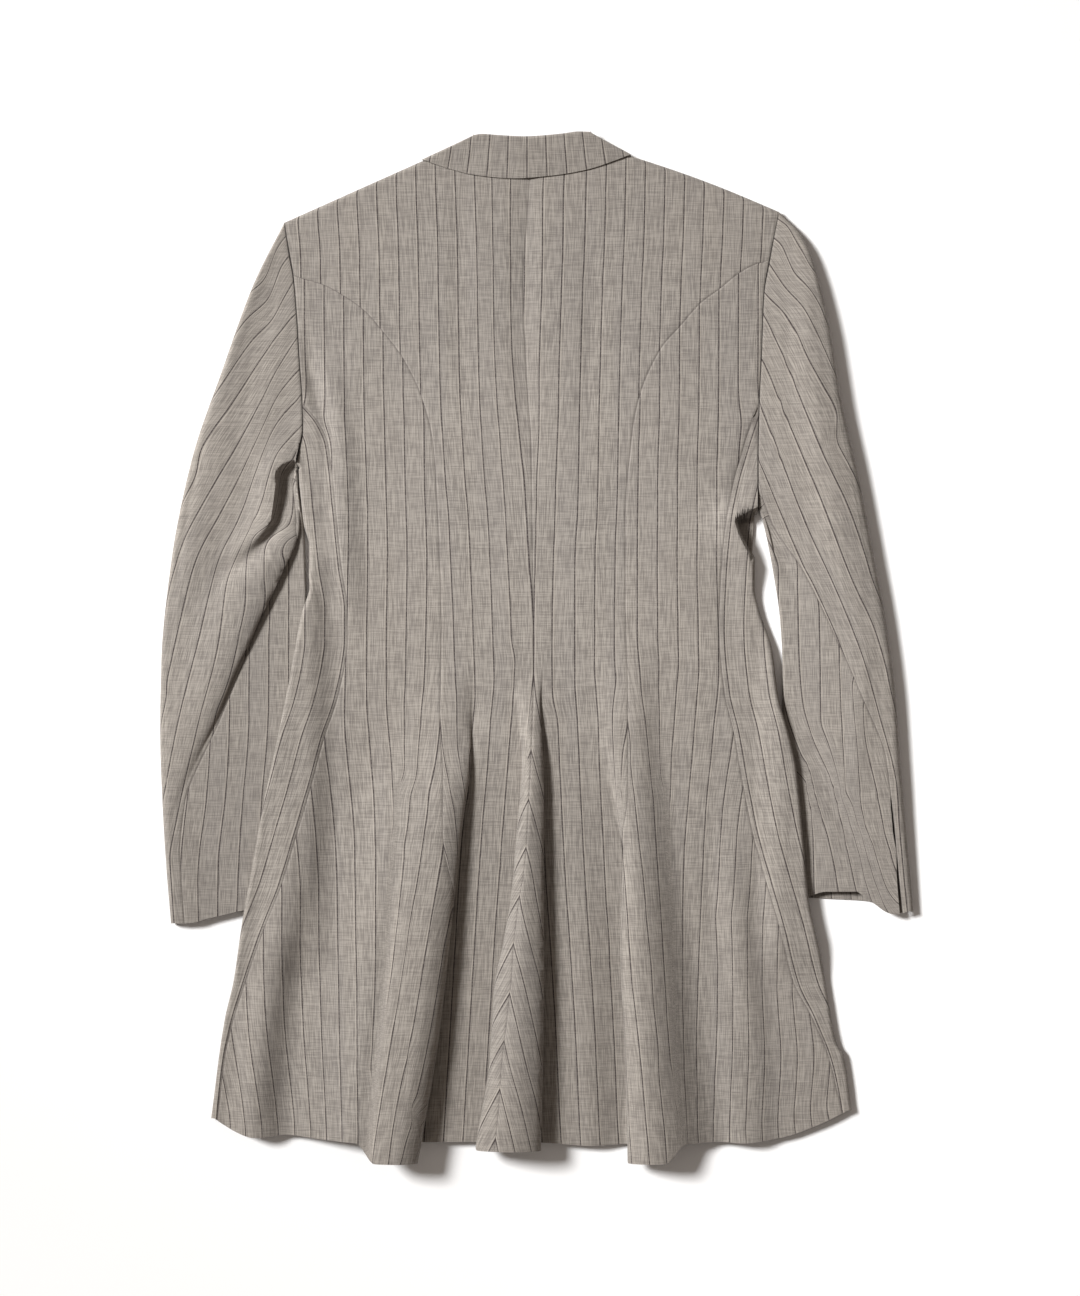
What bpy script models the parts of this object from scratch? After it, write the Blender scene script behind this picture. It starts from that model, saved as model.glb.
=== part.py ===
"""Flared pinstripe jacket, laid flat on its front with the back up.

Sizes are in millimetres and become metres when a mesh is made. X runs across the back,
Y runs up to the collar and Z up from the surface that the jacket lies on.
Left and right are those of the picture plane with the collar at the top.
"""

import math

import bpy
from mathutils import Vector

# Cloth and layers
METRES = 0.001
CLOTH = 1.6              # wall of every panel
SEAM_GAP = 0.3           # space between two pieces at a seam
ARMHOLE_GAP = 0.6        # more at the armhole, where two curves of unlike rows meet
ROLL_RADIUS = 2.7        # turn of the collar at its roll line
LOFT = 7.0               # outer side of the back above what the body lies on
OVER_SLEEVE = 6.1        # height of the body's underside where its edge lies on a sleeve
HEM_Y = -412.0           # level hem before its own curve and its folds
CENTRE_FRONT_X = -3.0

# Rows of the grids
SIDE_SEAM_TOP = 203.0
UPPER_LEVELS = (321.5, 309.5, 300.0, 286.0, 268.0, 247.0, 225.0, SIDE_SEAM_TOP)
LOWER_ROWS = 22
NECK_COLUMNS = 6
FRONT_COLUMNS = 6
CENTRE_COLUMNS = NECK_COLUMNS + FRONT_COLUMNS
SIDE_COLUMNS = 8
STRIP_COLUMNS = 3
WRAP_COLUMNS = 5
ROUND_STEPS = (0.0, 0.4, 1.0)
SLEEVE_ROWS = 17

COLOURS = {
    "back": (0.37, 0.33, 0.29, 1.0),
    "front": (0.36, 0.32, 0.28, 1.0),
    "sleeve": (0.36, 0.32, 0.285, 1.0),
    "collar": (0.38, 0.34, 0.30, 1.0),
}


def table(names, rows):
    """Columns of a table by name, each a list down the rows."""
    return {name: [row[i] for row in rows] for i, name in enumerate(names.split())}


# Lines of each side, from the shoulder down to the hem
SIDES = {
    "left": {
        "sign": -1,
        "junction": 309.5,
        "shoulder": table("x y", ((-6, 402), (-30, 403), (-60, 404), (-97, 404.5), (-210, 354))),
        "armhole": table("y x", ((354, -210), (327, -206), (310, -203), (275, -200), (240, -198),
                                 (203, -195.5), (180, -195), (162, -198), (154, -200))),
        "princess": table("y x", ((310, -203), (308, -196), (302, -179), (293, -162), (281, -145),
                                  (262, -128), (239, -111), (204, -95), (170, -87), (110, -83),
                                  (15, -80), (-56, -81), (-110, -84), (-159, -86), (-210, -90),
                                  (-277, -97), (-344, -107), (-430, -122))),
        "side": table("y x", ((203, -195.5), (185, -181), (168, -174), (116, -168), (67, -163),
                              (31, -158), (5, -158), (-12, -160), (-44, -167), (-74, -177),
                              (-115, -188), (-156, -200), (-196, -212), (-234, -227), (-277, -242),
                              (-317, -252), (-348, -258), (-415, -263))),
        "edge": table("y x", ((154, -200), (123, -197), (100, -194), (85, -190), (50, -190), (28, -196),
                              (-31, -207), (-70, -215), (-131, -228), (-193, -239), (-220, -244),
                              (-279, -253), (-311, -260), (-346, -265), (-415, -272))),
        "neckline": table("y x", ((406, -97), (360, -88), (310, -70), (268, -42), (230, -5), (203, -3.6))),
    },
    "right": {
        "sign": 1,
        "junction": 321.5,
        "shoulder": table("x y", ((-6, 402), (20, 403), (48, 405), (78, 409), (200, 363))),
        "armhole": table("y x", ((363, 200), (342, 196), (322, 192.5), (295, 188), (245, 186),
                                 (203, 184), (155, 183), (116, 183))),
        "princess": table("y x", ((322, 192.5), (320, 183), (311, 167), (298, 151), (287, 136),
                                  (269, 120), (248, 102), (210, 85), (181, 79), (106, 73), (40, 73),
                                  (-44, 75), (-119, 74), (-159, 72), (-210, 77), (-277, 82),
                                  (-344, 88), (-430, 95))),
        "side": table("y x", ((203, 184), (193, 180), (165, 171), (137, 163), (102, 156), (48, 152),
                              (15, 151), (-35, 155), (-70, 163), (-115, 171), (-155, 179),
                              (-195, 190), (-230, 200), (-280, 213), (-307, 226), (-349, 242),
                              (-415, 254))),
        "edge": table("y x", ((116, 183), (106, 183), (72, 181), (49, 181), (30, 185), (0, 195),
                              (-39, 200), (-73, 209), (-100, 215), (-160, 221), (-207, 225),
                              (-264, 237), (-295, 242), (-336, 249), (-349, 255), (-415, 262))),
        "neckline": table("y x", ((410, 78), (360, 69), (310, 51), (268, 29), (230, -1), (203, -2.4))),
    },
}

CENTRE_BACK = table("y x", ((402, -6), (310, -8), (190, -7), (40, -3), (-27, -3), (-84, -5), (-125, -9),
                            (-165, -14), (-204, -19), (-245, -24), (-285, -29), (-325, -33), (-365, -38),
                            (-430, -43)))

# Height of the hem along the width, before the folds pull it down
HEM = table("x y", ((-275, -386), (-262, -396), (-250, -401), (-235, -404), (-208, -405), (-180, -408),
                    (-148, -410), (-55, -411), (0, -411), (42, -414), (74, -413), (146, -411),
                    (199, -408), (231, -398), (262, -383)))

# Folds of the back: where the crest and the feet lie, how high it stands and how far its crest leans over
FOLDS = {
    "left_flare": {"dip": 20.0, "fullness": 1.7, "rows": table("y crest left right height lean", (
        (-10, -72, -110, -40, 0, 0),
        (-60, -72, -112, -46, 5, 2),
        (-100, -73, -115, -54, 12, 6),
        (-160, -79, -122, -60, 18, 9),
        (-240, -88, -132, -70, 22, 10),
        (-320, -97, -142, -78, 24, 10),
        (-430, -112, -156, -92, 25, 10)))},
    "centre_flare": {"dip": 6.0, "fullness": 2.0, "rows": table("y crest left right height lean", (
        (-20, -8, -34, 14, 0, 0),
        (-60, -8, -34, 8, 5, 2),
        (-100, -9, -34, 6, 12, 4),
        (-165, -12, -36, 5, 17, 5),
        (-245, -16, -44, 4, 20, 6),
        (-325, -21, -50, 3, 22, 6),
        (-430, -26, -60, 2, 23, 6)))},
    "right_flare": {"dip": 18.0, "fullness": 1.6, "rows": table("y crest left right height lean", (
        (20, 82, 40, 110, 0, 0),
        (-60, 80, 44, 104, 5, 0),
        (-150, 84, 54, 112, 9, -2),
        (-250, 88, 62, 120, 14, -3),
        (-340, 93, 68, 126, 18, -4),
        (-430, 98, 72, 130, 20, -5)))},
    "left_hip": {"dip": 3.0, "fullness": 1.0, "rows": table("y crest left right height lean", (
        (-100, -200, -225, -170, 0, 0),
        (-220, -212, -238, -182, 5, 0),
        (-320, -228, -256, -196, 7, 0),
        (-430, -238, -266, -205, 8, 0)))},
    "right_hip": {"dip": 2.0, "fullness": 1.0, "rows": table("y crest left right height lean", (
        (-140, 162, 140, 185, 0, 0),
        (-240, 165, 138, 192, 5, 0),
        (-340, 172, 145, 200, 6, 0),
        (-430, 176, 150, 204, 6, 0)))},
    "left_waist": {"dip": 0.0, "fullness": 1.0, "rows": table("y crest left right height lean", (
        (250, -178, -190, -160, 0, 0),
        (180, -166, -182, -148, 3, 0),
        (80, -160, -178, -142, 3, 0),
        (0, -154, -172, -136, 0, 0)))},
}

# Where a sleeve lies under the body's edge: its inner outline, and the heights between which it lifts the body
UNDERLAPS = (
    {"inner": -192.0, "sign": -1, "lift_from": 95.0, "full_from": 48.0, "full_to": -240.0, "lift_to": -285.0},
    {"inner": 204.0, "sign": 1, "lift_from": 20.0, "full_from": -26.0, "full_to": -236.0, "lift_to": -280.0},
)
UNDERLAP_RAMP = 26.0

# Sleeves: outer and inner end of each flattened ring, place of the elbow seam from inner to outer, and loft
SLEEVES = {
    "left": {
        "sign": -1,
        "rows": table("outer_x outer_y inner_x inner_y seam loft", (
            (-211, 354, -200.6, 153, 0.05, 7.0),
            (-236, 303, -201, 146, 0.05, 7.2),
            (-263, 229, -201, 130, 0.05, 7.0),
            (-288, 155, -199, 108, 0.06, 6.4),
            (-305, 70, -193, 75, 0.13, 5.4),
            (-313, -10, -192, 30, 0.34, 5.4),
            (-314, -70, -193, -40, 0.59, 5.4),
            (-312, -131, -193, -115, 0.87, 5.4),
            (-309, -180, -194, -165, 0.93, 5.4),
            (-305, -227, -194, -213, 0.93, 5.4))),
        "fold": {"fullness": 1.0, "rows": table("y crest left right height lean", (
            (150, -206, -250, -190, 0, 0),
            (100, -208, -262, -195, 9, 5),
            (60, -224, -280, -212, 12, 6),
            (19, -243, -300, -231, 12, 6),
            (-20, -259, -320, -248, 11, 5),
            (-60, -275, -330, -265, 9, 4),
            (-92, -290, -345, -281, 6, 3),
            (-135, -305, -350, -298, 0, 0)))},
    },
    "right": {
        "sign": 1,
        "rows": table("outer_x outer_y inner_x inner_y seam loft", (
            (201, 363, 184, 115, 0.04, 7.0),
            (223, 337, 185, 112, 0.04, 7.2),
            (240, 280, 187, 108, 0.04, 7.0),
            (253, 205, 190, 101, 0.05, 6.6),
            (266, 147, 194, 85, 0.11, 6.2),
            (280, 75, 199, 60, 0.29, 5.8),
            (291, 15, 204, 22, 0.48, 5.4),
            (298, -40, 205, -20, 0.70, 5.4),
            (302, -95, 204, -85, 0.93, 5.4),
            (307, -150, 202, -145, 0.95, 5.4),
            (313, -216, 200, -208, 0.95, 5.4))),
        "fold": {"fullness": 1.0, "rows": table("y crest left right height lean", (
            (340, 222, 200, 240, 0, 0),
            (250, 226, 205, 250, 3, 0),
            (100, 250, 225, 275, 3, 0),
            (0, 275, 255, 295, 0, 0)))},
    },
}

# Collar: one row for each section along it, from its fall's lower edge to its roll line, and how much it rolls
COLLAR = table("fall_x fall_y fall_z roll_x roll_y roll_z roll", (
    (-37, 268, 0.0, -8, 292, 0.0, 0),
    (-64, 312, 0.0, -20, 330, 0.0, 0),
    (-82, 362, 0.0, -36, 380, 0.0, 0),
    (-92.5, 404.5, 0.7, -51, 424, 0.7, 0),
    (-95, 409, 6.0, -55, 428, 6.0, 0),
    (-90, 405.5, 10.8, -52, 425, 11.2, 0.3),
    (-75, 398, 9.6, -46, 427, 11.2, 1),
    (-50, 392.5, 9.6, -32, 426, 11.2, 1),
    (-20, 390, 9.6, -10, 425, 11.2, 1),
    (9, 392, 9.6, 18, 427, 11.2, 1),
    (40, 397, 9.6, 34, 429, 11.2, 1),
    (69, 407.5, 10.8, 43, 427, 11.2, 0.3),
    (76.5, 413, 6.0, 46, 430, 6.0, 0),
    (73.5, 408, 0.7, 43, 425, 0.7, 0),
    (61, 362, 0.0, 26, 380, 0.0, 0),
    (43, 312, 0.0, 10, 330, 0.0, 0),
    (22, 268, 0.0, 1, 292, 0.0, 0)))


def read(columns, name, at, key="y"):
    """Value of a column at a place along the key column, by a curve that doesn't overshoot its rows."""
    keys, values = columns[key], columns[name]
    if keys[0] > keys[-1]:
        keys, values = keys[::-1], values[::-1]
    if at <= keys[0]:
        return values[0]
    if at >= keys[-1]:
        return values[-1]
    slopes = [(values[i + 1] - values[i]) / (keys[i + 1] - keys[i]) for i in range(len(keys) - 1)]
    tangents = [slopes[0]]
    for before, after in zip(slopes, slopes[1:]):
        tangents.append(0.0 if before * after <= 0 else 2 * before * after / (before + after))
    tangents.append(slopes[-1])
    i = max(k for k in range(len(keys) - 1) if keys[k] <= at)
    width = keys[i + 1] - keys[i]
    t = (at - keys[i]) / width
    return (values[i] * (1 + 2 * t) * (1 - t) ** 2 + width * tangents[i] * t * (1 - t) ** 2
            + values[i + 1] * t * t * (3 - 2 * t) - width * tangents[i + 1] * t * t * (1 - t))


def ease(t):
    t = min(max(t, 0.0), 1.0)
    return t * t * (3 - 2 * t)


def mix(a, b, t):
    return a + (b - a) * t


def crest_share(fold, x, y):
    """How much of a fold's height stands at a place: 1 on its crest, 0 beyond its feet."""
    rows = fold["rows"]
    crest = read(rows, "crest", y)
    foot = read(rows, "left" if x < crest else "right", y)
    away = min(abs((x - crest) / (foot - crest)), 1.0)
    return (1 + math.cos(math.pi * away ** fold["fullness"])) / 2


def folded(x, y, folds):
    """Rise and sideways lean of the cloth at a place, from all folds together."""
    rise = lean = 0.0
    for fold in folds:
        share = crest_share(fold, x, y)
        rise += read(fold["rows"], "height", y) * share
        lean += read(fold["rows"], "lean", y) * share
    return rise, lean


def floor_height(x, y):
    """Height of what the body lies on: the surface, or a sleeve under its edge."""
    height = 0.0
    for lap in UNDERLAPS:
        across = ease(1 - lap["sign"] * (lap["inner"] - x) / UNDERLAP_RAMP)
        above = ease((lap["lift_from"] - y) / (lap["lift_from"] - lap["full_from"]))
        below = ease((y - lap["lift_to"]) / (lap["full_to"] - lap["lift_to"]))
        height = max(height, OVER_SLEEVE * across * above * below)
    return height


def hem_shift(x, down):
    """How far the hem's curve moves a row that lies this share of the way down."""
    drop = read(HEM, "y", x, "x") - HEM_Y
    drop -= sum(fold["dip"] * crest_share(fold, x, HEM_Y) for fold in FOLDS.values())
    return drop * down ** 7


def lower_levels():
    """Share of the way from the side seam's top to the hem, for each lower row."""
    return [k / LOWER_ROWS for k in range(LOWER_ROWS + 1)]


def body_levels():
    """Heights of the body's level rows, each with its share of the way down to the hem."""
    upper = [(y, 0.0) for y in UPPER_LEVELS[:-1]]
    return upper + [(mix(SIDE_SEAM_TOP, HEM_Y, g), g) for g in lower_levels()]


def back_point(x, y):
    rise, lean = folded(x, y, FOLDS.values())
    return Vector((x + lean, y, floor_height(x, y) + LOFT + rise))


def level_row(inner_x, outer_x, y, down, columns):
    row = []
    for c in range(columns + 1):
        x = mix(inner_x, outer_x, c / columns)
        row.append(back_point(x, y + hem_shift(x, down)))
    return row


def shoulder_point(side, column):
    """A place on the neck edge or, past its corner, on the shoulder, by its column from the centre back."""
    line = side["shoulder"]
    neck_x, neck_y, tip_x, tip_y = line["x"][-2], line["y"][-2], line["x"][-1], line["y"][-1]
    if column < NECK_COLUMNS:
        x = mix(line["x"][0], neck_x, column / NECK_COLUMNS)
        return x, read(line, "y", x, "x"), 0.0
    along = (column - NECK_COLUMNS) / FRONT_COLUMNS
    return mix(neck_x, tip_x, along), mix(neck_y, tip_y, along), 1.0


def shoulder_rows(side, columns, layer, first_row):
    """Rows that round over the shoulder, for the back or the front, and run down to the first level row."""
    half = LOFT / 2
    rows = []
    for step in ROUND_STEPS:
        turn = step * math.pi / 2
        row = []
        for column in columns:
            x, y, rounded = shoulder_point(side, column)
            inset = half * (1 - math.cos(turn))
            height = mix(LOFT, half + half * math.sin(turn), rounded)
            row.append(Vector((x, y - inset, height if layer == "back" else LOFT - height)))
        rows.append(row)
    for t in (0.2, 0.55):
        rows.append([top.lerp(bottom, t) for top, bottom in zip(rows[2], first_row)])
    return rows


def back_centre(side):
    """Panel from the centre back seam to the armhole and the princess seam."""
    levels = []
    for y, down in body_levels():
        outer = side["armhole"] if y > side["junction"] else side["princess"]
        levels.append(level_row(read(CENTRE_BACK, "x", y), read(outer, "x", y), y, down, CENTRE_COLUMNS))
    return shoulder_rows(side, range(CENTRE_COLUMNS + 1), "back", levels[0]) + levels


def back_side(side):
    """Panel between the princess seam and, below the armhole, the side seam."""
    rows = []
    for y, down in body_levels():
        if y > side["junction"]:
            continue
        outer = side["armhole"] if y > SIDE_SEAM_TOP else side["side"]
        princess = read(side["princess"], "x", y)
        if y == side["junction"]:
            princess = read(side["armhole"], "x", y) - side["sign"] * 2.0
        rows.append(level_row(princess, read(outer, "x", y), y, down, SIDE_COLUMNS))
    return rows


def under_columns(sign):
    """Columns of the layer underneath, from the edge to the centre front, set where the sleeve's bump ends."""
    inner = next(lap["inner"] for lap in UNDERLAPS if lap["sign"] == sign)
    centre = CENTRE_FRONT_X + sign * 0.3
    end = inner - sign * UNDERLAP_RAMP
    return [inner, mix(inner, end, 0.5), end, mix(end, centre, 0.35), mix(end, centre, 0.7), centre]


def front_lower(side):
    """Front below the armpit: a strip on top, the turn at the body's edge, and the layer underneath."""
    sign = side["sign"]
    armpit_y = side["armhole"]["y"][-1]
    rows = []
    for g in lower_levels():
        row = []
        for c in range(STRIP_COLUMNS + 1):
            top_y = mix(SIDE_SEAM_TOP, armpit_y, c / STRIP_COLUMNS)
            y = mix(top_y, HEM_Y, g)
            edge = read(side["edge"], "x", y) if g else side["armhole"]["x"][-1]
            reach = edge - sign * LOFT / 2 * (1.0 if g else 0.0)
            if g == 0:
                x = read(side["armhole"], "x", top_y)
            else:
                x = mix(read(side["side"], "x", y), reach, c / STRIP_COLUMNS)
            row.append(back_point(x, y + hem_shift(x, g)))
        y = mix(armpit_y, HEM_Y, g)
        turn_way = Vector((sign, 0, 0)) if g > 0.03 else Vector((0, -1, 0))
        top = row[-1]
        bottom = Vector((top.x, top.y, floor_height(top.x, y)))
        middle, half = (top + bottom) / 2, (top.z - bottom.z) / 2
        for c in range(1, WRAP_COLUMNS + 1):
            turn = math.pi * c / WRAP_COLUMNS
            row.append(middle + turn_way * half * math.sin(turn) + Vector((0, 0, half * math.cos(turn))))
        for c, place in enumerate(under_columns(sign), 1):
            x = sign * min(sign * place, sign * top.x - 2.0 * c)
            front_y = mix(top.y, mix(armpit_y, HEM_Y + 8, g), ease(2 * c / FRONT_COLUMNS))
            row.append(Vector((x, front_y, floor_height(x, front_y))))
        rows.append(row)
    return rows


def front_upper(side, first_lower):
    """Front above the armpit, which lies on the surface under the back."""
    armpit_y = side["armhole"]["y"][-1]
    level_ys = [y for y in UPPER_LEVELS if y > armpit_y + 20] + [mix(SIDE_SEAM_TOP, armpit_y, 0.5)]
    levels = []
    for y in level_ys:
        inner, outer = read(side["neckline"], "x", y), read(side["armhole"], "x", y)
        levels.append([Vector((mix(outer, inner, c / FRONT_COLUMNS), y, 0)) for c in range(FRONT_COLUMNS + 1)])
    top = shoulder_rows(side, range(CENTRE_COLUMNS, NECK_COLUMNS - 1, -1), "front", levels[0])
    return top + levels + [first_lower[-FRONT_COLUMNS - 1:]]


def sleeve_rings(side_name):
    """Rings down a flattened sleeve, each from the elbow seam round its outer edge and back to the seam."""
    sleeve = SLEEVES[side_name]
    rows, sign = sleeve["rows"], sleeve["sign"]
    count = len(rows["seam"])
    rows = dict(rows, step=list(range(count)))
    armhole = SIDES[side_name]["armhole"]
    first_outer = Vector((rows["outer_x"][0], rows["outer_y"][0], 0))
    first_inner = Vector((rows["inner_x"][0], rows["inner_y"][0], 0))
    upper, under = [], []
    for r in range(SLEEVE_ROWS + 1):
        at = (count - 1) * r / SLEEVE_ROWS
        value = {name: read(rows, name, at, "step") for name in rows}
        outer = Vector((value["outer_x"], value["outer_y"], 0))
        inner = Vector((value["inner_x"], value["inner_y"], 0))
        across = (outer - inner).normalized()
        half = value["loft"] / 2
        straight = ease(at)

        def flat(w, height, lean=True):
            place = inner.lerp(outer, w) + across * half * (1 - 2 * w)
            start = first_inner.lerp(first_outer, w)
            bow = read(armhole, "x", start.y) + sign * ARMHOLE_GAP - start.x
            place.x += bow * (1 - straight)
            place.z = height
            if lean:
                rise, shift = folded(place.x, place.y, [sleeve["fold"]])
                fade = math.sin(math.pi * min(max(w, 0.0), 1.0)) ** 0.25 if 0 < w < 1 else 0.0
                place.z += rise * fade
                place.x += shift * fade
            return place

        def turn(w, way):
            middle = flat(w, half, lean=False)
            return [middle + across * way * half * math.sin(math.pi * k / 4)
                    + Vector((0, 0, half * math.cos(math.pi * k / 4) * way)) for k in range(1, 4)]

        seam = value["seam"]
        top = [flat(mix(seam, 1.0, t), 2 * half) for t in (0, 0.06, 0.12, 0.2, 0.4, 0.7, 1.0)]
        bottom = [flat(1 - t, 0, lean=False) for t in (0.0, 0.25, 0.5, 0.78)]
        upper.append(top + turn(1.0, 1) + bottom)
        inner_bottom = [flat(t, 0, lean=False) for t in (0.22, 0.0)]
        inner_top = [flat(seam * t, 2 * half) for t in (0.0, 0.25, 0.5, 0.75, 1.0)]
        under.append(inner_bottom + turn(0.0, -1) + inner_top)
    for rings in (upper, under):
        rings.insert(1, [point + Vector((sign * 1.5, 0, 0)) for point in rings[0]])
    return upper, under


def collar_rows():
    """Sections of the collar's fall, each ending in a turn down to the stand."""
    rows = []
    for section in zip(*COLLAR.values()):
        value = dict(zip(COLLAR, section))
        fall = Vector((value["fall_x"], value["fall_y"], value["fall_z"]))
        roll = Vector((value["roll_x"], value["roll_y"], value["roll_z"]))
        away = (roll - fall).normalized()
        radius = ROLL_RADIUS * value["roll"]
        start = roll - away * radius
        row = [fall.lerp(start, t) for t in (0.0, 0.33, 0.66)]
        for step in range(5):
            turn = math.pi * step / 4
            row.append(start + away * radius * math.sin(turn)
                       - Vector((0, 0, radius * (1 - math.cos(turn)))))
        rows.append(row)
    return rows


def stand_rows():
    """Collar stand, from the neck edge of the back up to the turn of the collar."""
    neck = [(SIDES["left"], column) for column in range(NECK_COLUMNS - 1, 0, -1)]
    neck += [(SIDES["right"], column) for column in range(NECK_COLUMNS)]
    bottom = [shoulder_point(side, column)[:2] for side, column in neck]
    turned = [section for section in zip(COLLAR["roll_x"], COLLAR["roll_y"], COLLAR["roll"]) if section[2] == 1]
    roll_line = table("x y roll", turned)
    top = []
    for i in range(len(bottom)):
        x = mix(roll_line["x"][0], roll_line["x"][-1], i / (len(bottom) - 1))
        top.append((x, read(roll_line, "y", x, "x") - ROLL_RADIUS - 2 * SEAM_GAP))
    return [[Vector((x, y, LOFT)) for x, y in line] for line in (top, bottom)]


def grid(rows, flip):
    """Faces of a grid of rows, facing out of the cloth."""
    faces = []
    for above, below in zip(rows, rows[1:]):
        for c in range(len(above) - 1):
            corners = {key(point): point for point in (above[c], above[c + 1], below[c + 1], below[c])}
            face = list(corners.values())
            if len(face) > 2:
                faces.append(face[::-1] if flip else face)
    return faces


def key(point):
    return tuple(round(value, 2) for value in point)


def face_normal(face):
    sides = [point - face[0] for point in face[1:]]
    return sum((a.cross(b) for a, b in zip(sides, sides[1:])), Vector())


def shared_normals(panels):
    """One normal for each place, so that the walls of two panels stay apart where they meet."""
    normals = {}
    for faces in panels.values():
        for face in faces:
            for point in face:
                normals[key(point)] = normals.get(key(point), Vector()) + face_normal(face)
    return {place: normal.normalized() for place, normal in normals.items()}


def edges_of(faces):
    """Edges that only one face has, in that face's order, with the way into the cloth."""
    found = {}
    for face in faces:
        for a, b in zip(face, face[1:] + face[:1]):
            found[key(a), key(b)] = (a, b, face_normal(face).normalized().cross(b - a).normalized())
    return [edge for ends, edge in found.items() if ends[::-1] not in found]


def cloth_wall(name, faces, normals, thickness=CLOTH):
    """A closed wall of cloth behind a panel's outer side, drawn in at its edges by half a seam gap."""
    inward = {}
    border = edges_of(faces)
    for a, b, way in border:
        for point in (a, b):
            inward[key(point)] = inward.get(key(point), Vector()) + way
    index, points = {}, []
    for face in faces:
        for point in face:
            if key(point) in index:
                continue
            index[key(point)] = len(points)
            shift = inward.get(key(point), Vector())
            if shift.length > 0:
                shift = shift.normalized() * SEAM_GAP / 2
            moved = point + shift
            moved.z = max(moved.z, 0.0)
            points.append(moved)
    count = len(points)
    normal_at = {place: normals[place] for place in index}
    ordered = sorted(index, key=index.get)
    points += [points[i] - normal_at[place] * thickness for i, place in enumerate(ordered)]
    polygons = []
    for face in faces:
        corners = [index[key(point)] for point in face]
        polygons.append(corners)
        polygons.append([i + count for i in reversed(corners)])
    for a, b, _ in border:
        i, j = index[key(a)], index[key(b)]
        polygons.append([j, i, i + count, j + count])
    mesh = bpy.data.meshes.new(name)
    mesh.from_pydata([point * METRES for point in points], [], polygons)
    mesh.validate()
    return mesh


def cloth_material(kind):
    material = bpy.data.materials.new(kind + "_cloth")
    material.use_nodes = True
    shader = material.node_tree.nodes["Principled BSDF"]
    shader.inputs["Base Color"].default_value = COLOURS[kind]
    shader.inputs["Roughness"].default_value = 0.85
    shader.inputs["Metallic"].default_value = 0.0
    return material


def add_object(name, mesh, material):
    mesh.materials.append(material)
    mesh.shade_smooth()
    piece = bpy.data.objects.new(name, mesh)
    bpy.context.scene.collection.objects.link(piece)
    return piece


def jacket_panels():
    """Outer side of every panel, by its name."""
    panels = {}
    for name, side in SIDES.items():
        flip = name == "right"
        panels["back_centre_" + name] = grid(back_centre(side), flip)
        panels["back_side_" + name] = grid(back_side(side), flip)
        lower = front_lower(side)
        panels["front_" + name] = (grid(lower, flip)
                                   + grid(front_upper(side, lower[0]), flip))
        upper_sleeve, under_sleeve = sleeve_rings(name)
        panels["upper_sleeve_" + name] = grid(upper_sleeve, flip)
        panels["under_sleeve_" + name] = grid(under_sleeve, flip)
    panels["collar"] = grid(collar_rows(), True)
    panels["collar_stand"] = grid(stand_rows(), True)
    return panels


def build():
    for thing in list(bpy.data.objects):
        bpy.data.objects.remove(thing, do_unlink=True)
    panels = jacket_panels()
    normals = shared_normals(panels)
    materials = {kind: cloth_material(kind) for kind in ("back", "front", "sleeve", "collar")}
    for name, faces in panels.items():
        kind = "sleeve" if "sleeve" in name else name.split("_")[0]
        add_object(name, cloth_wall(name, faces, normals), materials[kind])


build()
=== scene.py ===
# The looks of a flared pinstripe jacket that lies on its front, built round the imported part.
# Sizes are in millimetres until a mesh is made: X across the back, Y up to the collar, Z up from the floor.
import math

import bpy
import numpy as np
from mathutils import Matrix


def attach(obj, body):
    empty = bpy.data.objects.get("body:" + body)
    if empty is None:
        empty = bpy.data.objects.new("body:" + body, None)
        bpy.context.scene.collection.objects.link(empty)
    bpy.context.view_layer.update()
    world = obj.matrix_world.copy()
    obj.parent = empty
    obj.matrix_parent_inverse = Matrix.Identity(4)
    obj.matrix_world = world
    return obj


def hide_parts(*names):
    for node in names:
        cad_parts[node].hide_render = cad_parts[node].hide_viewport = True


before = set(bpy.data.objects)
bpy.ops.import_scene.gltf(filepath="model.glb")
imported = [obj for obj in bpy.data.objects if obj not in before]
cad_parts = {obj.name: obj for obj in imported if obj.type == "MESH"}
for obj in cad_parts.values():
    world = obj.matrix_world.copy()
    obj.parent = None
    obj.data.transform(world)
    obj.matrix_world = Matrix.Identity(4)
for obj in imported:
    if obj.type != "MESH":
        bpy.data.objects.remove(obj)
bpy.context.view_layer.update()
print("frame loaded:", len(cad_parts), "solids")

mm = 0.001
stripeGap = 16.3      # from one pinstripe to the next
clothThick = 0.9
loft = 7.0            # top of the back above what it lies on
seamGap = 0.3
centreFront = -3
farOff = 50.0         # distance given to what lies away from every seam


def table(names, *rows):
    return dict(zip(names.split(), np.array(rows, float).T))


def crease(*rows):
    # a soft line down the cloth: its place, its height, and how far it spreads to each side
    return table("x y height left right", *rows)


def foldRows(*rows):
    # places of a fold's crest and feet, its height, how far its sides tuck under, and the fall beyond it
    return table("y crest left right height tuckLeft tuckRight fall", *rows)


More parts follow.
